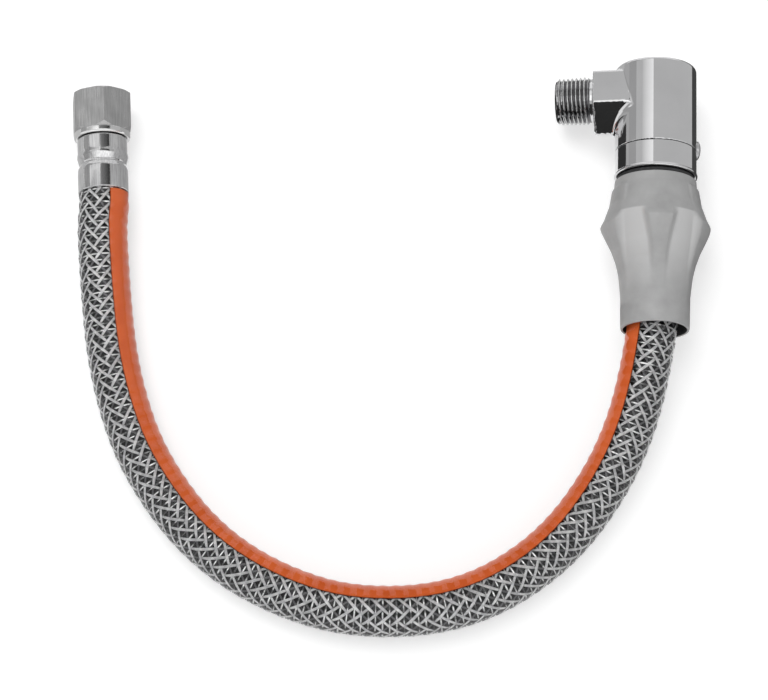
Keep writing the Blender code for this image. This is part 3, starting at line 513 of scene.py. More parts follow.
def mapped(tree, scale, turn=0.0):
    """Object coordinates, turned about Z and then stretched."""
    source = node(tree, "ShaderNodeTexCoord").outputs["Object"]
    turned_by = node(tree, "ShaderNodeMapping", {"Vector": source, "Rotation": (0.0, 0.0, turn)})
    return node(tree, "ShaderNodeMapping", {"Vector": turned_by.outputs[0], "Scale": scale}).outputs[0]


def drawn_steel(name, light_shade, dark_shade, roughness, lean):
    """Satin steel: fine lines along the fitting vary its colour, roughness and height.

    Where the skin's stored value is 1 it is polished instead.
    """
    material, tree, shader = finish(name, light_shade, Metallic=1.0, Roughness=roughness)
    polished = lift_of(tree)
    streaks = noise(tree, 1.0, 3.0, mapped(tree, (2600.0, 90.0, 2600.0), -lean))
    streak_share = calculated(tree, "MULTIPLY", streaks, 0.7)
    cloud_share = calculated(tree, "MULTIPLY", noise(tree, 160.0, 2.0), 0.3)
    share = calculated(tree, "ADD", streak_share, cloud_share)
    drawn = blended(tree, share, 0.36, 0.64, dark_shade, light_shade)
    tree.links.new(mixed(tree, polished, drawn, paint(214, 214, 214)), shader.inputs["Base Color"])
    dull = scaled(tree, share, 0.36, 0.64, roughness + 0.06, roughness - 0.04)
    smoothing = scaled(tree, polished, 0.0, 1.0, 1.0, 0.35)
    tree.links.new(calculated(tree, "MULTIPLY", dull, smoothing), shader.inputs["Roughness"])
    bumped(tree, shader, streaks, 0.012 * MM)
    return material


left_place = along_fitting(LEFT_EDGE, LEFT_ALONG, UPWARDS)
ferrule_finish = drawn_steel(
    "polished_sleeve_steel", paint(214, 214, 214), paint(184, 184, 185), 0.11, LEFT_LEAN
)
ferrule_outline = softened(
    [
        (FERRULE_BORE, FERRULE_LENGTH), (FERRULE_RADIUS - 0.1 * MM, FERRULE_LENGTH),
        (FERRULE_RADIUS - 0.1 * MM, GROOVE_AT + 5.6 * MM), (FERRULE_RADIUS + 0.2 * MM, GROOVE_AT + 3.7 * MM),
        (FERRULE_RADIUS - 0.65 * MM, GROOVE_AT + 0.6 * MM),
        (FERRULE_RADIUS - 0.95 * MM, GROOVE_AT + 0.2 * MM), (FERRULE_RADIUS - 0.9 * MM, GROOVE_AT - 0.3 * MM),
        (FERRULE_RADIUS - 0.1 * MM, GROOVE_AT - 1.9 * MM), (FERRULE_RADIUS, GROOVE_AT - 4.5 * MM),
        (FERRULE_RADIUS - 0.05 * MM, 0.3 * MM),
        (FERRULE_RADIUS - 0.3 * MM, 0.0), (FERRULE_BORE, 0.0), (FERRULE_BORE, GROOVE_AT - 1.2 * MM),
        (FERRULE_BORE - 0.8 * MM, GROOVE_AT), (FERRULE_BORE, GROOVE_AT + 1.2 * MM),
    ],
    0.7 * MM, closed=True,
)
ferrule = skin(
    "ferrule_surface", [turned(ferrule_outline, left_place)], ferrule_finish, "hose",
    loop=True,
)
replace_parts(weighted(ferrule), "socket_ferrule")

# Hexagon socket
# Turned from drawn hexagon bar: six flats with scalloped chamfers, a round collar left bare, a female
# half-inch thread in its end, and a tail that the ferrule is pressed on.
HEX_APOTHEM = 12.0 * MM
HEX_CORNER = HEX_APOTHEM / math.cos(math.radians(30.0))
HEX_TURN = math.radians(9.5)
HEX_POWER = 260  # of the mean that makes the hexagon: the higher, the sharper its corners
COLUMNS_PER_FLAT = 40
CHAMFER_ROWS = 26
FLAT_ROWS = 12
COLLAR_AT = FERRULE_LENGTH + END_GAP
HEX_START = COLLAR_AT + 2.7 * MM
HEX_END = HEX_START + 17.7 * MM
COLLAR_RADIUS = 12.3 * MM
THREAD_CREST = 9.3 * MM
THREAD_DEPTH = 13.5 * MM
THREAD_PITCH = 1.814 * MM
THREAD_HEIGHT = 1.0 * MM
THREAD_STRETCH = 1.35  # of the triangle before it is clipped
THREAD_ROWS = 90
TAIL_RADIUS = 8.5 * MM
TAIL_BORE = 6.0 * MM
TAIL_END = 8.7 * MM


def hexagon_radius(angle, apothem, corner_turn):
    """Distance to a hexagon's side at an angle: the apothem over the power mean of the sides' cosines."""
    sides = corner_turn + np.radians(np.arange(30.0, 360.0, 60.0))
    cosines = np.clip(np.cos(angle[..., None] - sides), 0.0, None)
    return apothem / (cosines**HEX_POWER).sum(axis=-1) ** (1 / HEX_POWER)


def greatest(values, softness):
    """The largest of several values, rounded where two of them meet."""
    values = np.stack(np.broadcast_arrays(*values))
    top = values.max(axis=0)
    return top + softness * np.log(np.exp((values - top) / softness).sum(axis=0))


def thread_wave(run, angle, pitch):
    """A screw thread's height, 0 at its root and 1 at its crest.

    It is a triangle that climbs one pitch a turn, stretched about its middle and clipped.
    """
    phase = (run / pitch - angle / (2 * np.pi)) % 1.0
    triangle = 1 - 2 * np.abs(phase - 0.5)
    return np.clip(0.5 + THREAD_STRETCH * (triangle - 0.5), 0.0, 1.0)


# The columns lie closer together towards the hexagon's corners.
hex_share = np.linspace(-1.0, 1.0, COLUMNS_PER_FLAT, endpoint=False)
hex_side = np.sign(hex_share) * (1 - (1 - np.abs(hex_share)) ** 1.5)
flat_start = HEX_TURN + np.radians(np.arange(0, 360, 60))
hex_angle = (flat_start[:, None] + np.radians(30.0) * (1 + hex_side)[None]).ravel()
bar_outline = softened(
    [
        (HEX_CORNER - 1.35 * MM, HEX_END), (HEX_CORNER + 0.1 * MM, HEX_END - 1.0 * MM),
        (HEX_CORNER + 0.1 * MM, HEX_START + 1.6 * MM), (COLLAR_RADIUS - 0.25 * MM, HEX_START),
    ],
    0.2 * MM,
)
rows = np.unique(np.concatenate([
    np.linspace(HEX_START, HEX_START + 2.0 * MM, CHAMFER_ROWS),
    np.linspace(HEX_START + 2.0 * MM, HEX_END - 1.6 * MM, FLAT_ROWS),
    np.linspace(HEX_END - 1.6 * MM, HEX_END, CHAMFER_ROWS),
]))[::-1]
bar_limit = np.interp(rows, bar_outline[::-1, 1], bar_outline[::-1, 0])[:, None]
flats_radius = hexagon_radius(hex_angle, HEX_APOTHEM, HEX_TURN)[None, :]
bar_radius = -greatest([-flats_radius, -bar_limit], 0.06 * MM)  # the lesser of the two
collar_outline = softened(
    [
        (COLLAR_RADIUS - 0.25 * MM, HEX_START - 0.02 * MM), (COLLAR_RADIUS, HEX_START - 0.3 * MM),
        (COLLAR_RADIUS - 0.15 * MM, COLLAR_AT + 0.6 * MM), (COLLAR_RADIUS - 0.75 * MM, COLLAR_AT),
        (TAIL_RADIUS, COLLAR_AT), (TAIL_RADIUS, GROOVE_AT + 2.0 * MM),
        (TAIL_RADIUS - 0.75 * MM, GROOVE_AT + 1.1 * MM), (TAIL_RADIUS - 0.75 * MM, GROOVE_AT - 1.1 * MM),
        (TAIL_RADIUS, GROOVE_AT - 2.0 * MM), (TAIL_RADIUS, TAIL_END), (TAIL_BORE, TAIL_END),
        (TAIL_BORE, HEX_END - THREAD_DEPTH - 1.5 * MM), (THREAD_CREST - 1.6 * MM, HEX_END - THREAD_DEPTH),
    ],
    0.3 * MM,
)
thread_run = np.linspace(HEX_END - THREAD_DEPTH + 0.5 * MM, HEX_END - 1.0 * MM, THREAD_ROWS)[:, None]
thread_depth = 1 - thread_wave(thread_run, hex_angle[None, :], THREAD_PITCH)
thread_radius = THREAD_CREST + THREAD_HEIGHT * thread_depth
mouth = np.array([(THREAD_CREST + THREAD_HEIGHT, HEX_END - 0.9 * MM), (THREAD_CREST + 1.5 * MM, HEX_END)])
levels = [
    (bar_radius, rows[:, None]),
    (collar_outline[:, :1], collar_outline[:, 1:]),
    (thread_radius, thread_run),
    (mouth[:, :1], mouth[:, 1:]),
]
socket_grid = np.concatenate([
    left_place(radius * np.sin(hex_angle), radius * np.cos(hex_angle), run) for radius, run in levels
])
socket_finish = drawn_steel("drawn_bar_steel", paint(186, 186, 186), paint(158, 158, 158), 0.3, LEFT_LEAN)
on_collar = (collar_outline[:, 0] > FERRULE_RADIUS) * 1.0
collar_shine = np.concatenate([np.zeros(len(rows)), on_collar, np.zeros(len(thread_run) + len(mouth))])
socket_lift = np.broadcast_to(collar_shine[:, None], (len(collar_shine), len(hex_angle)))
hex_socket = skin(
    "hexagon_socket", [socket_grid], socket_finish, "hose",
    loop=True, lift=[socket_lift], sharp=50.0,
)
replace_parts(weighted(hex_socket), "hex_socket")

# Grip
# One moulding of grey plastic with a fine grain. Five ribs flare to their tips and fade towards the mouth,
# flutes are scooped between them, and a stepped cavity takes the ferrule and the cam sleeve.
GRIP_LENGTH = 65.1 * MM
GRIP_BORE = 12.9 * MM
MOUTH_RADIUS = 14.55 * MM
MOUTH_BORE = 13.4 * MM
RIB_HEIGHT = 8.85 * MM
GRIP_RIBS = 5
RIB_EDGE = 9.0  # degrees over which a rib's side falls to the flute
TOP_RIB_SHARE = 0.64  # the rib on top is narrower than the others
RIB_PROFILE = [
    (0.0, -0.03), (0.008, 0.0), (0.215, 0.023), (0.347, 0.141), (0.43, 0.288), (0.507, 0.48),
    (0.584, 0.74), (0.645, 0.932), (0.679, 1.0), (0.722, 0.842), (0.823, 0.582), (0.934, 0.446),
    (0.943, 0.356), (1.0, 0.316),
]
FLUTE_PROFILE = [
    (0.0, -0.03), (0.008, 0.0), (0.215, 0.011), (0.43, 0.16), (0.56, 0.4), (0.65, 0.61),
    (0.733, 0.79), (0.738, 0.8), (0.823, 0.545), (0.9, 0.42), (0.943, 0.356), (1.0, 0.316),
]
RIB_HALF_ANGLE = [(0.0, 10.0), (0.43, 11.0), (0.55, 14.0), (0.65, 18.0), (0.74, 22.5), (1.0, 23.0)]
PANEL_FROM = 0.738  # between the side ribs, on top and below, the grip is smooth from here to its end
PANEL_HALF_ANGLE = 47.0
PANEL_EDGE = 2.5  # degrees over which the side ribs rise beside it
FLUTE_LIGHT_PAINTED_FROM = 0.2  # the flutes' painted highlight grows from here
FLUTE_LIGHT_PAINTED_RUN = 0.35
GRIP_COLUMNS = 300
SHOULDER_AT = 55.2 * MM
SLEEVE_NECK = 11.2 * MM
SLEEVE_FLANGE = 13.3 * MM
FERRULE_ROOM_END = 41.6 * MM


def eased(share, profile, spread):
    """A profile of (share, value) points, averaged over a spread of shares so that its corners are round."""
    offsets = np.linspace(-1.0, 1.0, 9)
    weights = 1.0 - np.abs(offsets) * 0.8
    shares, values = np.array(profile).T
    samples = np.interp(share[:, None] + spread * offsets, shares, values)
    return samples @ weights / weights.sum()


def rib_cover(share, degrees):
    """How far each point lies on a rib: 0 in a flute, 1 on a rib, with a smooth step across its side."""
    period = 360.0 / GRIP_RIBS
    half = eased(share, RIB_HALF_ANGLE, 0.05)[:, None] * np.where(degrees < 36, TOP_RIB_SHARE, 1.0)
    half = np.where(degrees > 324, half * TOP_RIB_SHARE, half)
    off = np.abs((degrees + period / 2) % period - period / 2)[None, :]
    fall = np.clip((half + RIB_EDGE - off) / RIB_EDGE, 0.0, 1.0)
    return fall * fall * (3 - 2 * fall)


def grip_radius(share, degrees):
    """The grip's radius: the flute's, raised to the rib's on the ribs, but not on the smooth panels."""
    rib = eased(share, RIB_PROFILE, 0.008)[:, None]
    flute = eased(share, FLUTE_PROFILE, 0.006)[:, None]
    from_top = np.abs((degrees + 90.0) % 180.0 - 90.0)[None, :]
    panel = np.clip((PANEL_HALF_ANGLE - from_top) / PANEL_EDGE, 0.0, 1.0) * (share > PANEL_FROM)[:, None]
    return MOUTH_RADIUS + RIB_HEIGHT * (flute + (rib - flute) * rib_cover(share, degrees) * (1 - panel))


right_place = along_fitting(GRIP_MOUTH, RIGHT_ALONG, UPWARDS)
grip_share = np.unique(
    np.r_[np.linspace(0.0, 0.03, 14), np.linspace(0.03, 0.8, 90), np.linspace(0.8, 1.0, 70)]
)
grip_degrees = np.linspace(0.0, 360.0, GRIP_COLUMNS, endpoint=False)
grip_angle = np.radians(grip_degrees)
outside = grip_radius(grip_share, grip_degrees)
cavity = softened(
    [
        (SLEEVE_NECK, GRIP_LENGTH), (SLEEVE_NECK, SHOULDER_AT), (SLEEVE_FLANGE, SHOULDER_AT),
        (SLEEVE_FLANGE, FERRULE_ROOM_END + 4.0 * MM), (GRIP_BORE, FERRULE_ROOM_END), (GRIP_BORE, 12.0 * MM),
        (MOUTH_BORE, 8.0 * MM), (MOUTH_BORE, 0.3 * MM), (MOUTH_BORE + 0.1 * MM, 0.0),
    ],
    0.3 * MM,
)
# Painted highlight: the flutes are made lighter where their slopes face the front.
painted_flute_light = (1 - rib_cover(grip_share, grip_degrees)) * (grip_share < PANEL_FROM)[:, None]
painted_flute_light = painted_flute_light * np.clip((grip_share - FLUTE_LIGHT_PAINTED_FROM) / FLUTE_LIGHT_PAINTED_RUN, 0.0, 1.0)[:, None]
# Painted shade: the cavity inside the grip is made dark.
painted_cavity_shade = np.repeat(np.where(cavity[:, 1] > 0.2 * MM, -1.0, 0.0)[:, None], GRIP_COLUMNS, axis=1)
grip_radii = np.vstack([outside, np.repeat(cavity[:, :1], GRIP_COLUMNS, axis=1)])
grip_runs = np.r_[grip_share * GRIP_LENGTH, cavity[:, 1]][:, None]
grip_grid = right_place(grip_radii * np.sin(grip_angle), grip_radii * np.cos(grip_angle), grip_runs)

grip_finish, tree, shader = finish("grained_grey_plastic", Roughness=0.46)
mottled = blended(tree, noise(tree, 130.0, 4.0), 0.3, 0.7, paint(152, 152, 152), paint(164, 164, 164))
place_on_grip = lift_of(tree)
# Painted highlight: a lighter colour in the flutes.
with_painted_flute_light = blended(tree, place_on_grip, 0.0, 1.0, mottled, paint(186, 186, 186))
# Painted shade: a dark colour in the cavity.
with_painted_cavity_shade = blended(tree, place_on_grip, -1.0, 0.0, paint(58, 58, 58), with_painted_flute_light)
tree.links.new(with_painted_cavity_shade, shader.inputs["Base Color"])
bumped(tree, shader, noise(tree, 2200.0, 2.0), 0.03 * MM)
grip = skin(
    "grip_surface", [grip_grid], grip_finish, "grip",
    loop=True, lift=[painted_flute_light, painted_cavity_shade], sharp=60.0,
)
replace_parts(grip, "grip_sleeve")

# Gasket
# A moulded black rubber ring between the grip and the chrome mouth ring.
GASKET_AT = GRIP_LENGTH + END_GAP
GASKET_THICKNESS = 1.6 * MM
GASKET_RADIUS = 16.6 * MM

rubber_finish, tree, shader = finish("black_rubber", paint(34, 34, 35), Roughness=0.6)
dusty = blended(tree, noise(tree, 700.0, 3.0), 0.4, 0.7, paint(26, 26, 27), paint(48, 48, 50))
tree.links.new(dusty, shader.inputs["Base Color"])
gasket_outline = softened(
    [
        (SLEEVE_NECK, GASKET_AT), (GASKET_RADIUS, GASKET_AT), (GASKET_RADIUS, GASKET_AT + GASKET_THICKNESS),
        (SLEEVE_NECK, GASKET_AT + GASKET_THICKNESS),
    ],
    0.4 * MM, closed=True,
)
gasket = skin(
    "gasket_surface", [turned(gasket_outline, right_place)], rubber_finish, "grip", loop=True
)
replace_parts(gasket, "grip_gasket")

# Chrome mouth ring
# Turned brass, polished and chromed, with a rolled lip towards the grip. Its spigot screws into the elbow.
BODY_RADIUS = 17.4 * MM
MOUTH_RING_AT = GASKET_AT + GASKET_THICKNESS + END_GAP
SEAM_AT = MOUTH_RING_AT + 11.7 * MM
SPIGOT_RADIUS = 14.6 * MM
RING_BORE = 11.4 * MM
SPIGOT_END = 85.0 * MM
RING_COLUMNS = 192

chrome_finish, tree, shader = finish("chrome_plate", Metallic=1.0, Roughness=0.05)
smear = noise(tree, 60.0, 3.0)
smeared = blended(tree, smear, 0.3, 0.7, paint(211, 211, 212), paint(218, 218, 219))
tree.links.new(smeared, shader.inputs["Base Color"])
tree.links.new(scaled(tree, smear, 0.3, 0.7, 0.035, 0.07), shader.inputs["Roughness"])
ring_outline = softened(
    [
        (SPIGOT_RADIUS, SPIGOT_END), (SPIGOT_RADIUS, SEAM_AT - 0.15 * MM), (BODY_RADIUS, SEAM_AT - 0.15 * MM),
        (BODY_RADIUS, MOUTH_RING_AT + 1.35 * MM), (BODY_RADIUS + 0.4 * MM, MOUTH_RING_AT + 0.95 * MM),
        (BODY_RADIUS + 0.4 * MM, MOUTH_RING_AT + 0.3 * MM), (BODY_RADIUS - 0.2 * MM, MOUTH_RING_AT),
        (RING_BORE + 0.6 * MM, MOUTH_RING_AT), (RING_BORE, MOUTH_RING_AT + 0.6 * MM), (RING_BORE, SPIGOT_END),
    ],
    0.25 * MM, closed=True,
)
mouth_ring = skin(
    "chrome_mouth_ring", [turned(ring_outline, right_place, RING_COLUMNS)], chrome_finish, "socket",
    loop=True,
)
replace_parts(weighted(mouth_ring), "bezel_ring")

# Bayonet pin
# A chromed pin whose domed head stands out of the body's side, with its tip in the cam sleeve's groove.
PIN_AT = 81.3 * MM
PIN_AZIMUTH = math.radians(98.0)
PIN_HEAD_RADIUS = 4.2 * MM
PIN_HEAD_TOP = BODY_RADIUS + 1.9 * MM
PIN_RADIUS = 1.6 * MM
PIN_TIP = 9.7 * MM
PIN_COLUMNS = 64

pin_outward = np.array((math.sin(PIN_AZIMUTH), 0.0, math.cos(PIN_AZIMUTH)))
pin_place = along_fitting(GRIP_MOUTH + PIN_AT * RIGHT_ALONG, pin_outward, RIGHT_ALONG)
head_seat = BODY_RADIUS * math.cos(math.asin(PIN_HEAD_RADIUS / BODY_RADIUS))
dome = np.radians(np.linspace(0.0, 80.0, 12))
dome_outline = np.stack(
    [(PIN_HEAD_RADIUS - 0.5 * MM) * np.sin(dome), PIN_HEAD_TOP - 0.9 * MM * (1 - np.cos(dome))], -1
)
pin_outline = np.vstack([
    dome_outline,
    softened(
        [
            dome_outline[-1], (PIN_HEAD_RADIUS - 0.45 * MM, PIN_HEAD_TOP - 1.0 * MM),
            (PIN_HEAD_RADIUS, PIN_HEAD_TOP - 1.1 * MM), (PIN_HEAD_RADIUS, head_seat), (PIN_RADIUS, head_seat),
            (PIN_RADIUS, PIN_TIP), (0.0, PIN_TIP),
        ],
        0.2 * MM,
    ),
])
pin_finish, tree, shader = finish("satin_pin", Metallic=1.0, Roughness=0.34)
scuffed = blended(tree, noise(tree, 900.0, 3.0), 0.35, 0.65, paint(168, 168, 169), paint(190, 190, 191))
tree.links.new(scuffed, shader.inputs["Base Color"])
pin_grid = turned(pin_outline, pin_place, PIN_COLUMNS)
pin = skin("bayonet_pin_surface", [pin_grid], pin_finish, "socket")
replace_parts(weighted(pin), "bayonet_pin")

# Chrome elbow
# One brass forging, bored, polished and chromed: a round body, a hexagon block for the spanner that runs
# into it with a hollow fillet, and a neck. It is the level surface of a distance worked out from these forms.
BODY_TOP = 116.7 * MM
BODY_EDGE = 1.5 * MM
ARM_AT = 103.9 * MM
ARM_DROOP = math.radians(10.7)
BLOCK_APOTHEM = 13.75 * MM
BLOCK_START = 10.0 * MM
BLOCK_END = 26.0 * MM
BLOCK_TURN = math.radians(-18.0)
BLOCK_OFFSET = -1.4 * MM  # the forging's block sits a little nearer the mouth than the nipple
BLOCK_FILLET = 3.0 * MM  # towards the mouth, where the fillet is widest
NECK_END = 27.9 * MM
NECK_RADIUS = 9.4 * MM
NIPPLE_END = 42.7 * MM
NIPPLE_CORE = 9.0 * MM
ARM_BORE = 6.5 * MM
CHAMBER_RADIUS = 12.3 * MM
CHAMBER_TOP = 113.0 * MM
CHAMBER_SHOULDER = 87.3 * MM
SPIGOT_BORE = SPIGOT_RADIUS + END_GAP
ELBOW_VOXEL = 0.46 * MM
ELBOW_PASSES = 8
ELBOW_STEP = 0.6 * MM  # the farthest that a point moves in one pass

arm_along = np.array((-math.cos(ARM_DROOP), 0.0, -math.sin(ARM_DROOP)))
arm_up = np.array((-math.sin(ARM_DROOP), 0.0, math.cos(ARM_DROOP)))
arm_origin = GRIP_MOUTH + ARM_AT * RIGHT_ALONG
arm_place = along_fitting(arm_origin, arm_along, arm_up)


def joined(first, second, fillet):
    """The lesser of two distances, with a hollow fillet of about the given radius between the forms."""
    share = np.clip(0.5 + 0.5 * (second - first) / fillet, 0.0, 1.0)
    return second + (first - second) * share - fillet * share * (1 - share)


def elbow_distance(points):
    """Distance from the elbow's surface: round body, hexagon block, neck and core joined, less its bores."""
    right = points - GRIP_MOUTH
    radius = np.hypot(right[:, 0], right[:, 2])
    run = right[:, 1]
    over_side = radius - BODY_RADIUS + BODY_EDGE
    over_top = run - BODY_TOP + BODY_EDGE
    body = np.hypot(np.maximum(over_side, 0), np.maximum(over_top, 0))
    body += np.minimum(np.maximum(over_side, over_top), 0) - BODY_EDGE
    arm = points - arm_origin
    out = arm @ arm_along
    up = arm @ arm_up
    across = arm[:, 1]
    sides = BLOCK_TURN + np.radians(np.arange(30.0, 360.0, 60.0))
    block_across = across - BLOCK_OFFSET
    flats = [up * math.cos(side) + block_across * math.sin(side) - BLOCK_APOTHEM for side in sides]
    block = greatest([*flats, out - BLOCK_END, BLOCK_START - out], 0.2 * MM)
    arm_radius = np.hypot(up, across)
    neck = greatest([arm_radius - NECK_RADIUS, out - NECK_END, BLOCK_START - out], 0.15 * MM)
    core = greatest([arm_radius - NIPPLE_CORE, out - NIPPLE_END + 0.5 * MM, BLOCK_START - out], 0.15 * MM)
    fillet = BLOCK_FILLET * np.clip(-across / (10.0 * MM), 0.12, 1.0)
    solid = joined(body, block, fillet)
    solid = joined(solid, np.minimum(neck, core), 0.8 * MM)
    pin = points - GRIP_MOUTH - PIN_AT * RIGHT_ALONG
    pin_out = pin @ pin_outward
    pin_radius = np.linalg.norm(pin - pin_out[:, None] * pin_outward, axis=1)
    bores = [
        np.maximum(radius - CHAMBER_RADIUS, run - CHAMBER_TOP),
        np.maximum(radius - SPIGOT_BORE, run - CHAMBER_SHOULDER),
        np.maximum(arm_radius - ARM_BORE, -out),
        np.maximum(pin_radius - PIN_RADIUS - END_GAP, -pin_out),
        np.maximum(pin_radius - PIN_HEAD_RADIUS - END_GAP, head_seat - END_GAP - pin_out),
    ]
    return greatest([solid, SEAM_AT + 0.15 * MM - run, *[-bore for bore in bores]], 0.06 * MM)


def slope_of(distance, points, step=0.01 * MM):
    """The distance's gradient by central differences."""
    shifts = np.eye(3) * step
    return np.stack([(distance(points + s) - distance(points - s)) / (2 * step) for s in shifts], -1)


# The frame's own elbow is cut into small cells, whose points then move onto the level surface.
rough = nodes["elbow_body"].data.copy()
weld(rough, 1e-6)
block_object = placed("elbow_blank", rough)
voxels = block_object.modifiers.new("voxels", "REMESH")
voxels.mode = "VOXEL"
voxels.voxel_size = ELBOW_VOXEL
voxels.use_smooth_shade = True
bpy.context.view_layer.update()
shaped = block_object.evaluated_get(bpy.context.evaluated_depsgraph_get())
elbow_mesh = bpy.data.meshes.new_from_object(shaped)
bpy.data.objects.remove(block_object)
elbow_points = np.empty(len(elbow_mesh.vertices) * 3)
elbow_mesh.vertices.foreach_get("co", elbow_points)
elbow_points = elbow_points.reshape(-1, 3)
for _ in range(ELBOW_PASSES):
    slope = slope_of(elbow_distance, elbow_points)
    steep = np.maximum((slope**2).sum(axis=1), 0.25)
    move = elbow_distance(elbow_points) / steep
    elbow_points -= np.clip(move, -ELBOW_STEP, ELBOW_STEP)[:, None] * slope
elbow_mesh.vertices.foreach_set("co", elbow_points.ravel())
elbow_mesh.update()
slope = slope_of(elbow_distance, elbow_points)
slope /= np.linalg.norm(slope, axis=1)[:, None]
elbow_mesh.shade_smooth()
elbow_mesh.normals_split_custom_set_from_vertices(slope.tolist())
elbow_mesh.materials.clear()
elbow_mesh.materials.append(chrome_finish)
elbow = placed("chrome_elbow", elbow_mesh)
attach(elbow, "socket")
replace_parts(elbow, "elbow_body")

# Male inlet thread
# A tapered half-inch pipe thread cut on the elbow's nipple and chromed, with a chamfered first turn.
CREST_RADIUS = 10.48 * MM
ROOT_RADIUS = 9.35 * MM
TAPER = 1 / 32
NIPPLE_ROWS = 150
NIPPLE_COLUMNS = 120

thread_finish, tree, shader = finish("chromed_thread", Metallic=1.0, Roughness=0.12)
worn = blended(tree, noise(tree, 500.0, 3.0), 0.3, 0.7, paint(196, 196, 196), paint(222, 222, 222))
# Painted shade: the thread's roots are made darker than its crests.
with_painted_valley_shade = blended(tree, lift_of(tree), 0.1, 0.8, paint(112, 112, 114), worn)
tree.links.new(with_painted_valley_shade, shader.inputs["Base Color"])
thread_angle = np.linspace(0.0, 2 * np.pi, NIPPLE_COLUMNS, endpoint=False)[None, :]
nipple_run = np.linspace(NECK_END - 0.6 * MM, NIPPLE_END - 0.25 * MM, NIPPLE_ROWS)[:, None]
from_tip = np.clip((NIPPLE_END - nipple_run) / (1.3 * MM), 0.0, 1.0)
from_neck = np.clip((nipple_run - NECK_END) / (1.2 * MM), 0.0, 1.0)
crest = CREST_RADIUS - TAPER * (nipple_run - NECK_END)
root = ROOT_RADIUS - TAPER * (nipple_run - NECK_END)
turns = thread_wave(nipple_run, thread_angle, THREAD_PITCH) * from_neck
chamfer_base = root - 0.2 * MM
nipple_radius = np.minimum(root + (crest - root) * turns, chamfer_base + (crest - chamfer_base) * from_tip)
nipple_end = softened(
    [
        (ROOT_RADIUS - 0.7 * MM, NIPPLE_END), (ARM_BORE + 0.3 * MM, NIPPLE_END),
        (ARM_BORE, NIPPLE_END - 0.4 * MM), (ARM_BORE, NECK_END - 0.6 * MM),
    ],
    0.15 * MM,
)
nipple_radii = np.vstack([nipple_radius, np.repeat(nipple_end[:, :1], NIPPLE_COLUMNS, axis=1)])
nipple_runs = np.vstack([nipple_run, nipple_end[:, 1:]])
nipple_grid = arm_place(
    nipple_radii * np.sin(thread_angle), nipple_radii * np.cos(thread_angle), nipple_runs
)
thread_height = np.vstack([turns, np.ones((len(nipple_end), NIPPLE_COLUMNS))])
inlet_thread = skin(
    "inlet_thread", [nipple_grid], thread_finish, "socket",
    loop=True, lift=[thread_height], sharp=50.0,
)
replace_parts(inlet_thread, "elbow_body")

# Pieces inside
# Brass plug, cam sleeve, washer, valve and its cartridge, black seals, spring steel and the plug's ferrule.
# They keep the frame's own solids and get the finish of turned brass, moulded rubber and drawn steel.


def turned_metal(name, light_shade, dark_shade, roughness):
    """Turned metal: fine rings about the fitting, as lines across its length."""
    material, tree, shader = finish(name, light_shade, Metallic=1.0, Roughness=roughness)
    rings = noise(tree, 1.0, 2.0, mapped(tree, (60.0, 3000.0, 60.0)))
    ringed = blended(tree, rings, 0.35, 0.65, dark_shade, light_shade)
    tree.links.new(ringed, shader.inputs["Base Color"])
    dull = scaled(tree, rings, 0.3, 0.7, roughness + 0.05, roughness - 0.05)
    tree.links.new(dull, shader.inputs["Roughness"])
    bumped(tree, shader, rings, 0.01 * MM)
    return material


brass_finish = turned_metal("turned_brass", paint(222, 190, 122), paint(200, 166, 98), 0.26)
spring_finish = turned_metal("spring_wire_steel", paint(186, 186, 188), paint(150, 150, 152), 0.3)
inside_finishes = [
    (brass_finish, ["plug_body", "thrust_washer", "cam_sleeve", "valve_cartridge", "valve_poppet"]),
    (rubber_finish, ["plug_seal_rear", "plug_seal_front", "cartridge_seal", "poppet_seal"]),
    (spring_finish, ["plug_snap_ring", "valve_spring"]),
    (ferrule_finish, ["plug_ferrule"]),
]
for material, names in inside_finishes:
    for name in names:
        for place in nodes[name].material_slots:
            place.material = material

# Floor, cards and light
# A white floor, a pale surround and soft lamps. The white, grey and dark cards show only in reflections.
FLOOR_HALF = 6.0
FLOOR_GLOW = 0.45
SURROUND_LIGHT = 0.58


def in_sight(tree):
    """1 for rays from the camera, even mirrored or refracted, and 0 for those that light the pieces."""
    rays = node(tree, "ShaderNodeLightPath").outputs
    direct = calculated(tree, "MAXIMUM", rays["Is Camera Ray"], rays["Is Glossy Ray"])
    return calculated(tree, "MAXIMUM", direct, rays["Is Transmission Ray"])


floor_finish, tree, shader = finish("white_floor", (0.7, 0.7, 0.7, 1.0), Roughness=0.9)
shader.inputs["Specular IOR Level"].default_value = 0.0
shader.inputs["Emission Color"].default_value = (1.0, 1.0, 1.0, 1.0)
tree.links.new(calculated(tree, "MULTIPLY", in_sight(tree), FLOOR_GLOW), shader.inputs["Emission Strength"])
floor_mesh = bpy.data.meshes.new("floor")
floor_corners = [(-FLOOR_HALF, -FLOOR_HALF, 0), (FLOOR_HALF, -FLOOR_HALF, 0)]
floor_corners += [(FLOOR_HALF, FLOOR_HALF, 0), (-FLOOR_HALF, FLOOR_HALF, 0)]
floor_mesh.from_pydata(floor_corners, [], [(0, 1, 2, 3)])
floor_mesh.materials.append(floor_finish)
floor = placed("floor", floor_mesh)

card_finish = bpy.data.materials.new("studio_card")
card_finish.use_nodes = True
tree = card_finish.node_tree
glow = node(tree, "ShaderNodeAttribute", attribute_name="glow").outputs["Fac"]
emission = node(tree, "ShaderNodeEmission", {"Color": (1.0, 1.0, 1.0, 1.0), "Strength": glow})
tree.links.new(emission.outputs[0], tree.nodes["Material Output"].inputs["Surface"])


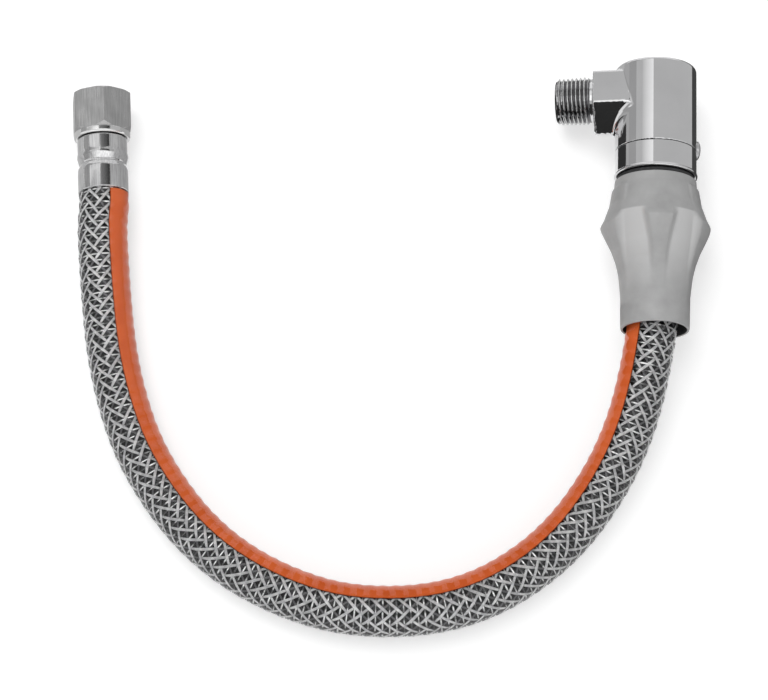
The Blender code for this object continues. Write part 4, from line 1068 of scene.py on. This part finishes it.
def card(name, low, high, first, last):
    """A flat card that shows only in reflections, square to the frame, from its lowest to its highest corner.

    Its brightness goes from the first value to the last along its first side.
    """
    low = np.array(low)
    high = np.array(high)
    one = np.flatnonzero(high - low)[0]
    corners = np.array([low, low, high, high])
    corners[1, one] = high[one]
    corners[3, one] = low[one]
    mesh = bpy.data.meshes.new(name)
    mesh.from_pydata(corners.tolist(), [], [(0, 1, 2, 3)])
    brightness = mesh.attributes.new("glow", "FLOAT", "POINT")
    brightness.data.foreach_set("value", np.array((first, last, last, first), np.float32))
    mesh.materials.append(card_finish)
    board = placed(name, mesh)
    board.visible_camera = False
    board.visible_diffuse = False
    board.visible_shadow = False
    board.visible_transmission = False


def lamp(name, centre, size, target, power):
    """A soft lamp of a width and a height, aimed at a point, which reflections don't show."""
    light_data = bpy.data.lights.new(name, "AREA")
    light_data.shape = "RECTANGLE"
    light_data.size = size[0]
    light_data.size_y = size[1]
    light_data.energy = power
    source = placed(name, light_data)
    source.location = centre
    source.rotation_euler = (Vector(target) - Vector(centre)).to_track_quat("-Z", "Y").to_euler()
    source.visible_glossy = False


lamp("key_lamp", (-0.34, 0.45, 1.6), (0.9, 1.3), (0.0, -0.05, 0.0), 12.3)
lamp("front_lamp", (-0.2, -1.7, 0.7), (1.6, 0.5), (0.0, -0.05, 0.0), 7.0)
card("grey_ceiling", (-2.5, -1.6, 1.9), (2.5, 2.6, 1.9), 0.6, 0.6)
card("grey_left_wall", (-2.5, -0.5, 0.0), (-2.5, 2.6, 1.9), 0.43, 0.43)
card("grey_right_wall", (2.5, -0.5, 0.0), (2.5, 2.6, 1.9), 0.6, 0.6)
card("grey_floor_at_right", (0.187, -0.3, 0.0004), (2.5, 2.0, 0.0004), 0.6, 0.6)
card("soft_white_overhead", (-1.5, 0.35, 1.6), (-0.225, 1.3, 1.6), 0.6, 1.15)
card("white_over_front_left", (-1.9, -0.5, 1.6), (-0.5, 0.34, 1.6), 0.6, 1.5)
card("white_over_front", (-0.5, -0.5, 1.6), (0.9, 0.34, 1.6), 1.5, 1.5)
card("white_over_front_right", (0.9, -0.5, 1.6), (2.9, 0.34, 1.6), 1.5, 0.6)
card("white_front", (-1.2, -1.8, 0.4), (1.2, -1.8, 1.4), 1.4, 1.4)
card("dark_over_ferrule", (-0.145, 0.03, 0.165), (-0.018, 0.12, 0.165), 0.3, 0.0)
card("grey_beside_dark", (-0.016, 0.02, 0.1), (-0.016, 0.13, 0.168), 0.6, 0.6)
card("light_over_nut", (-0.42, 0.07, 0.2), (-0.2, 0.14, 0.2), 1.0, 1.0)
card("grey_floor_left_of_nut", (-0.6, -0.05, 0.0005), (-0.137, 0.2, 0.0005), 0.7, 0.7)
card("grey_floor_right_of_nut", (-0.106, 0.0, 0.0005), (-0.002, 0.13, 0.0005), 0.5, 0.5)
card("grey_upright_right_of_nut", (-0.002, 0.0, 0.0), (-0.002, 0.13, 0.04), 0.5, 0.5)
card("dark_floor_left_of_body", (0.0, 0.0, 0.0005), (0.0745, 0.068, 0.0005), 0.04, 0.04)
card("grey_floor_left_of_body", (0.0, 0.068, 0.0005), (0.098, 0.2, 0.0005), 0.6, 0.6)
card("dark_upright_left_of_body", (0.0, 0.0, 0.0), (0.0, 0.068, 0.02), 0.04, 0.04)
card("dark_floor_right_of_body", (0.137, -0.055, 0.0006), (0.187, 0.145, 0.0006), 0.07, 0.07)
card("dark_before_block", (0.0, -0.05, 0.001), (0.108, -0.05, 0.14), 0.03, 0.03)

world = bpy.data.worlds.new("pale_surround")
world.use_nodes = True
tree = world.node_tree
background = tree.nodes["Background"]
background.inputs["Color"].default_value = (1.0, 1.0, 1.0, 1.0)
tree.links.new(scaled(tree, in_sight(tree), 0.0, 1.0, SURROUND_LIGHT, 1.0), background.inputs["Strength"])
bpy.context.scene.world = world
bpy.context.scene.view_settings.view_transform = "Standard"
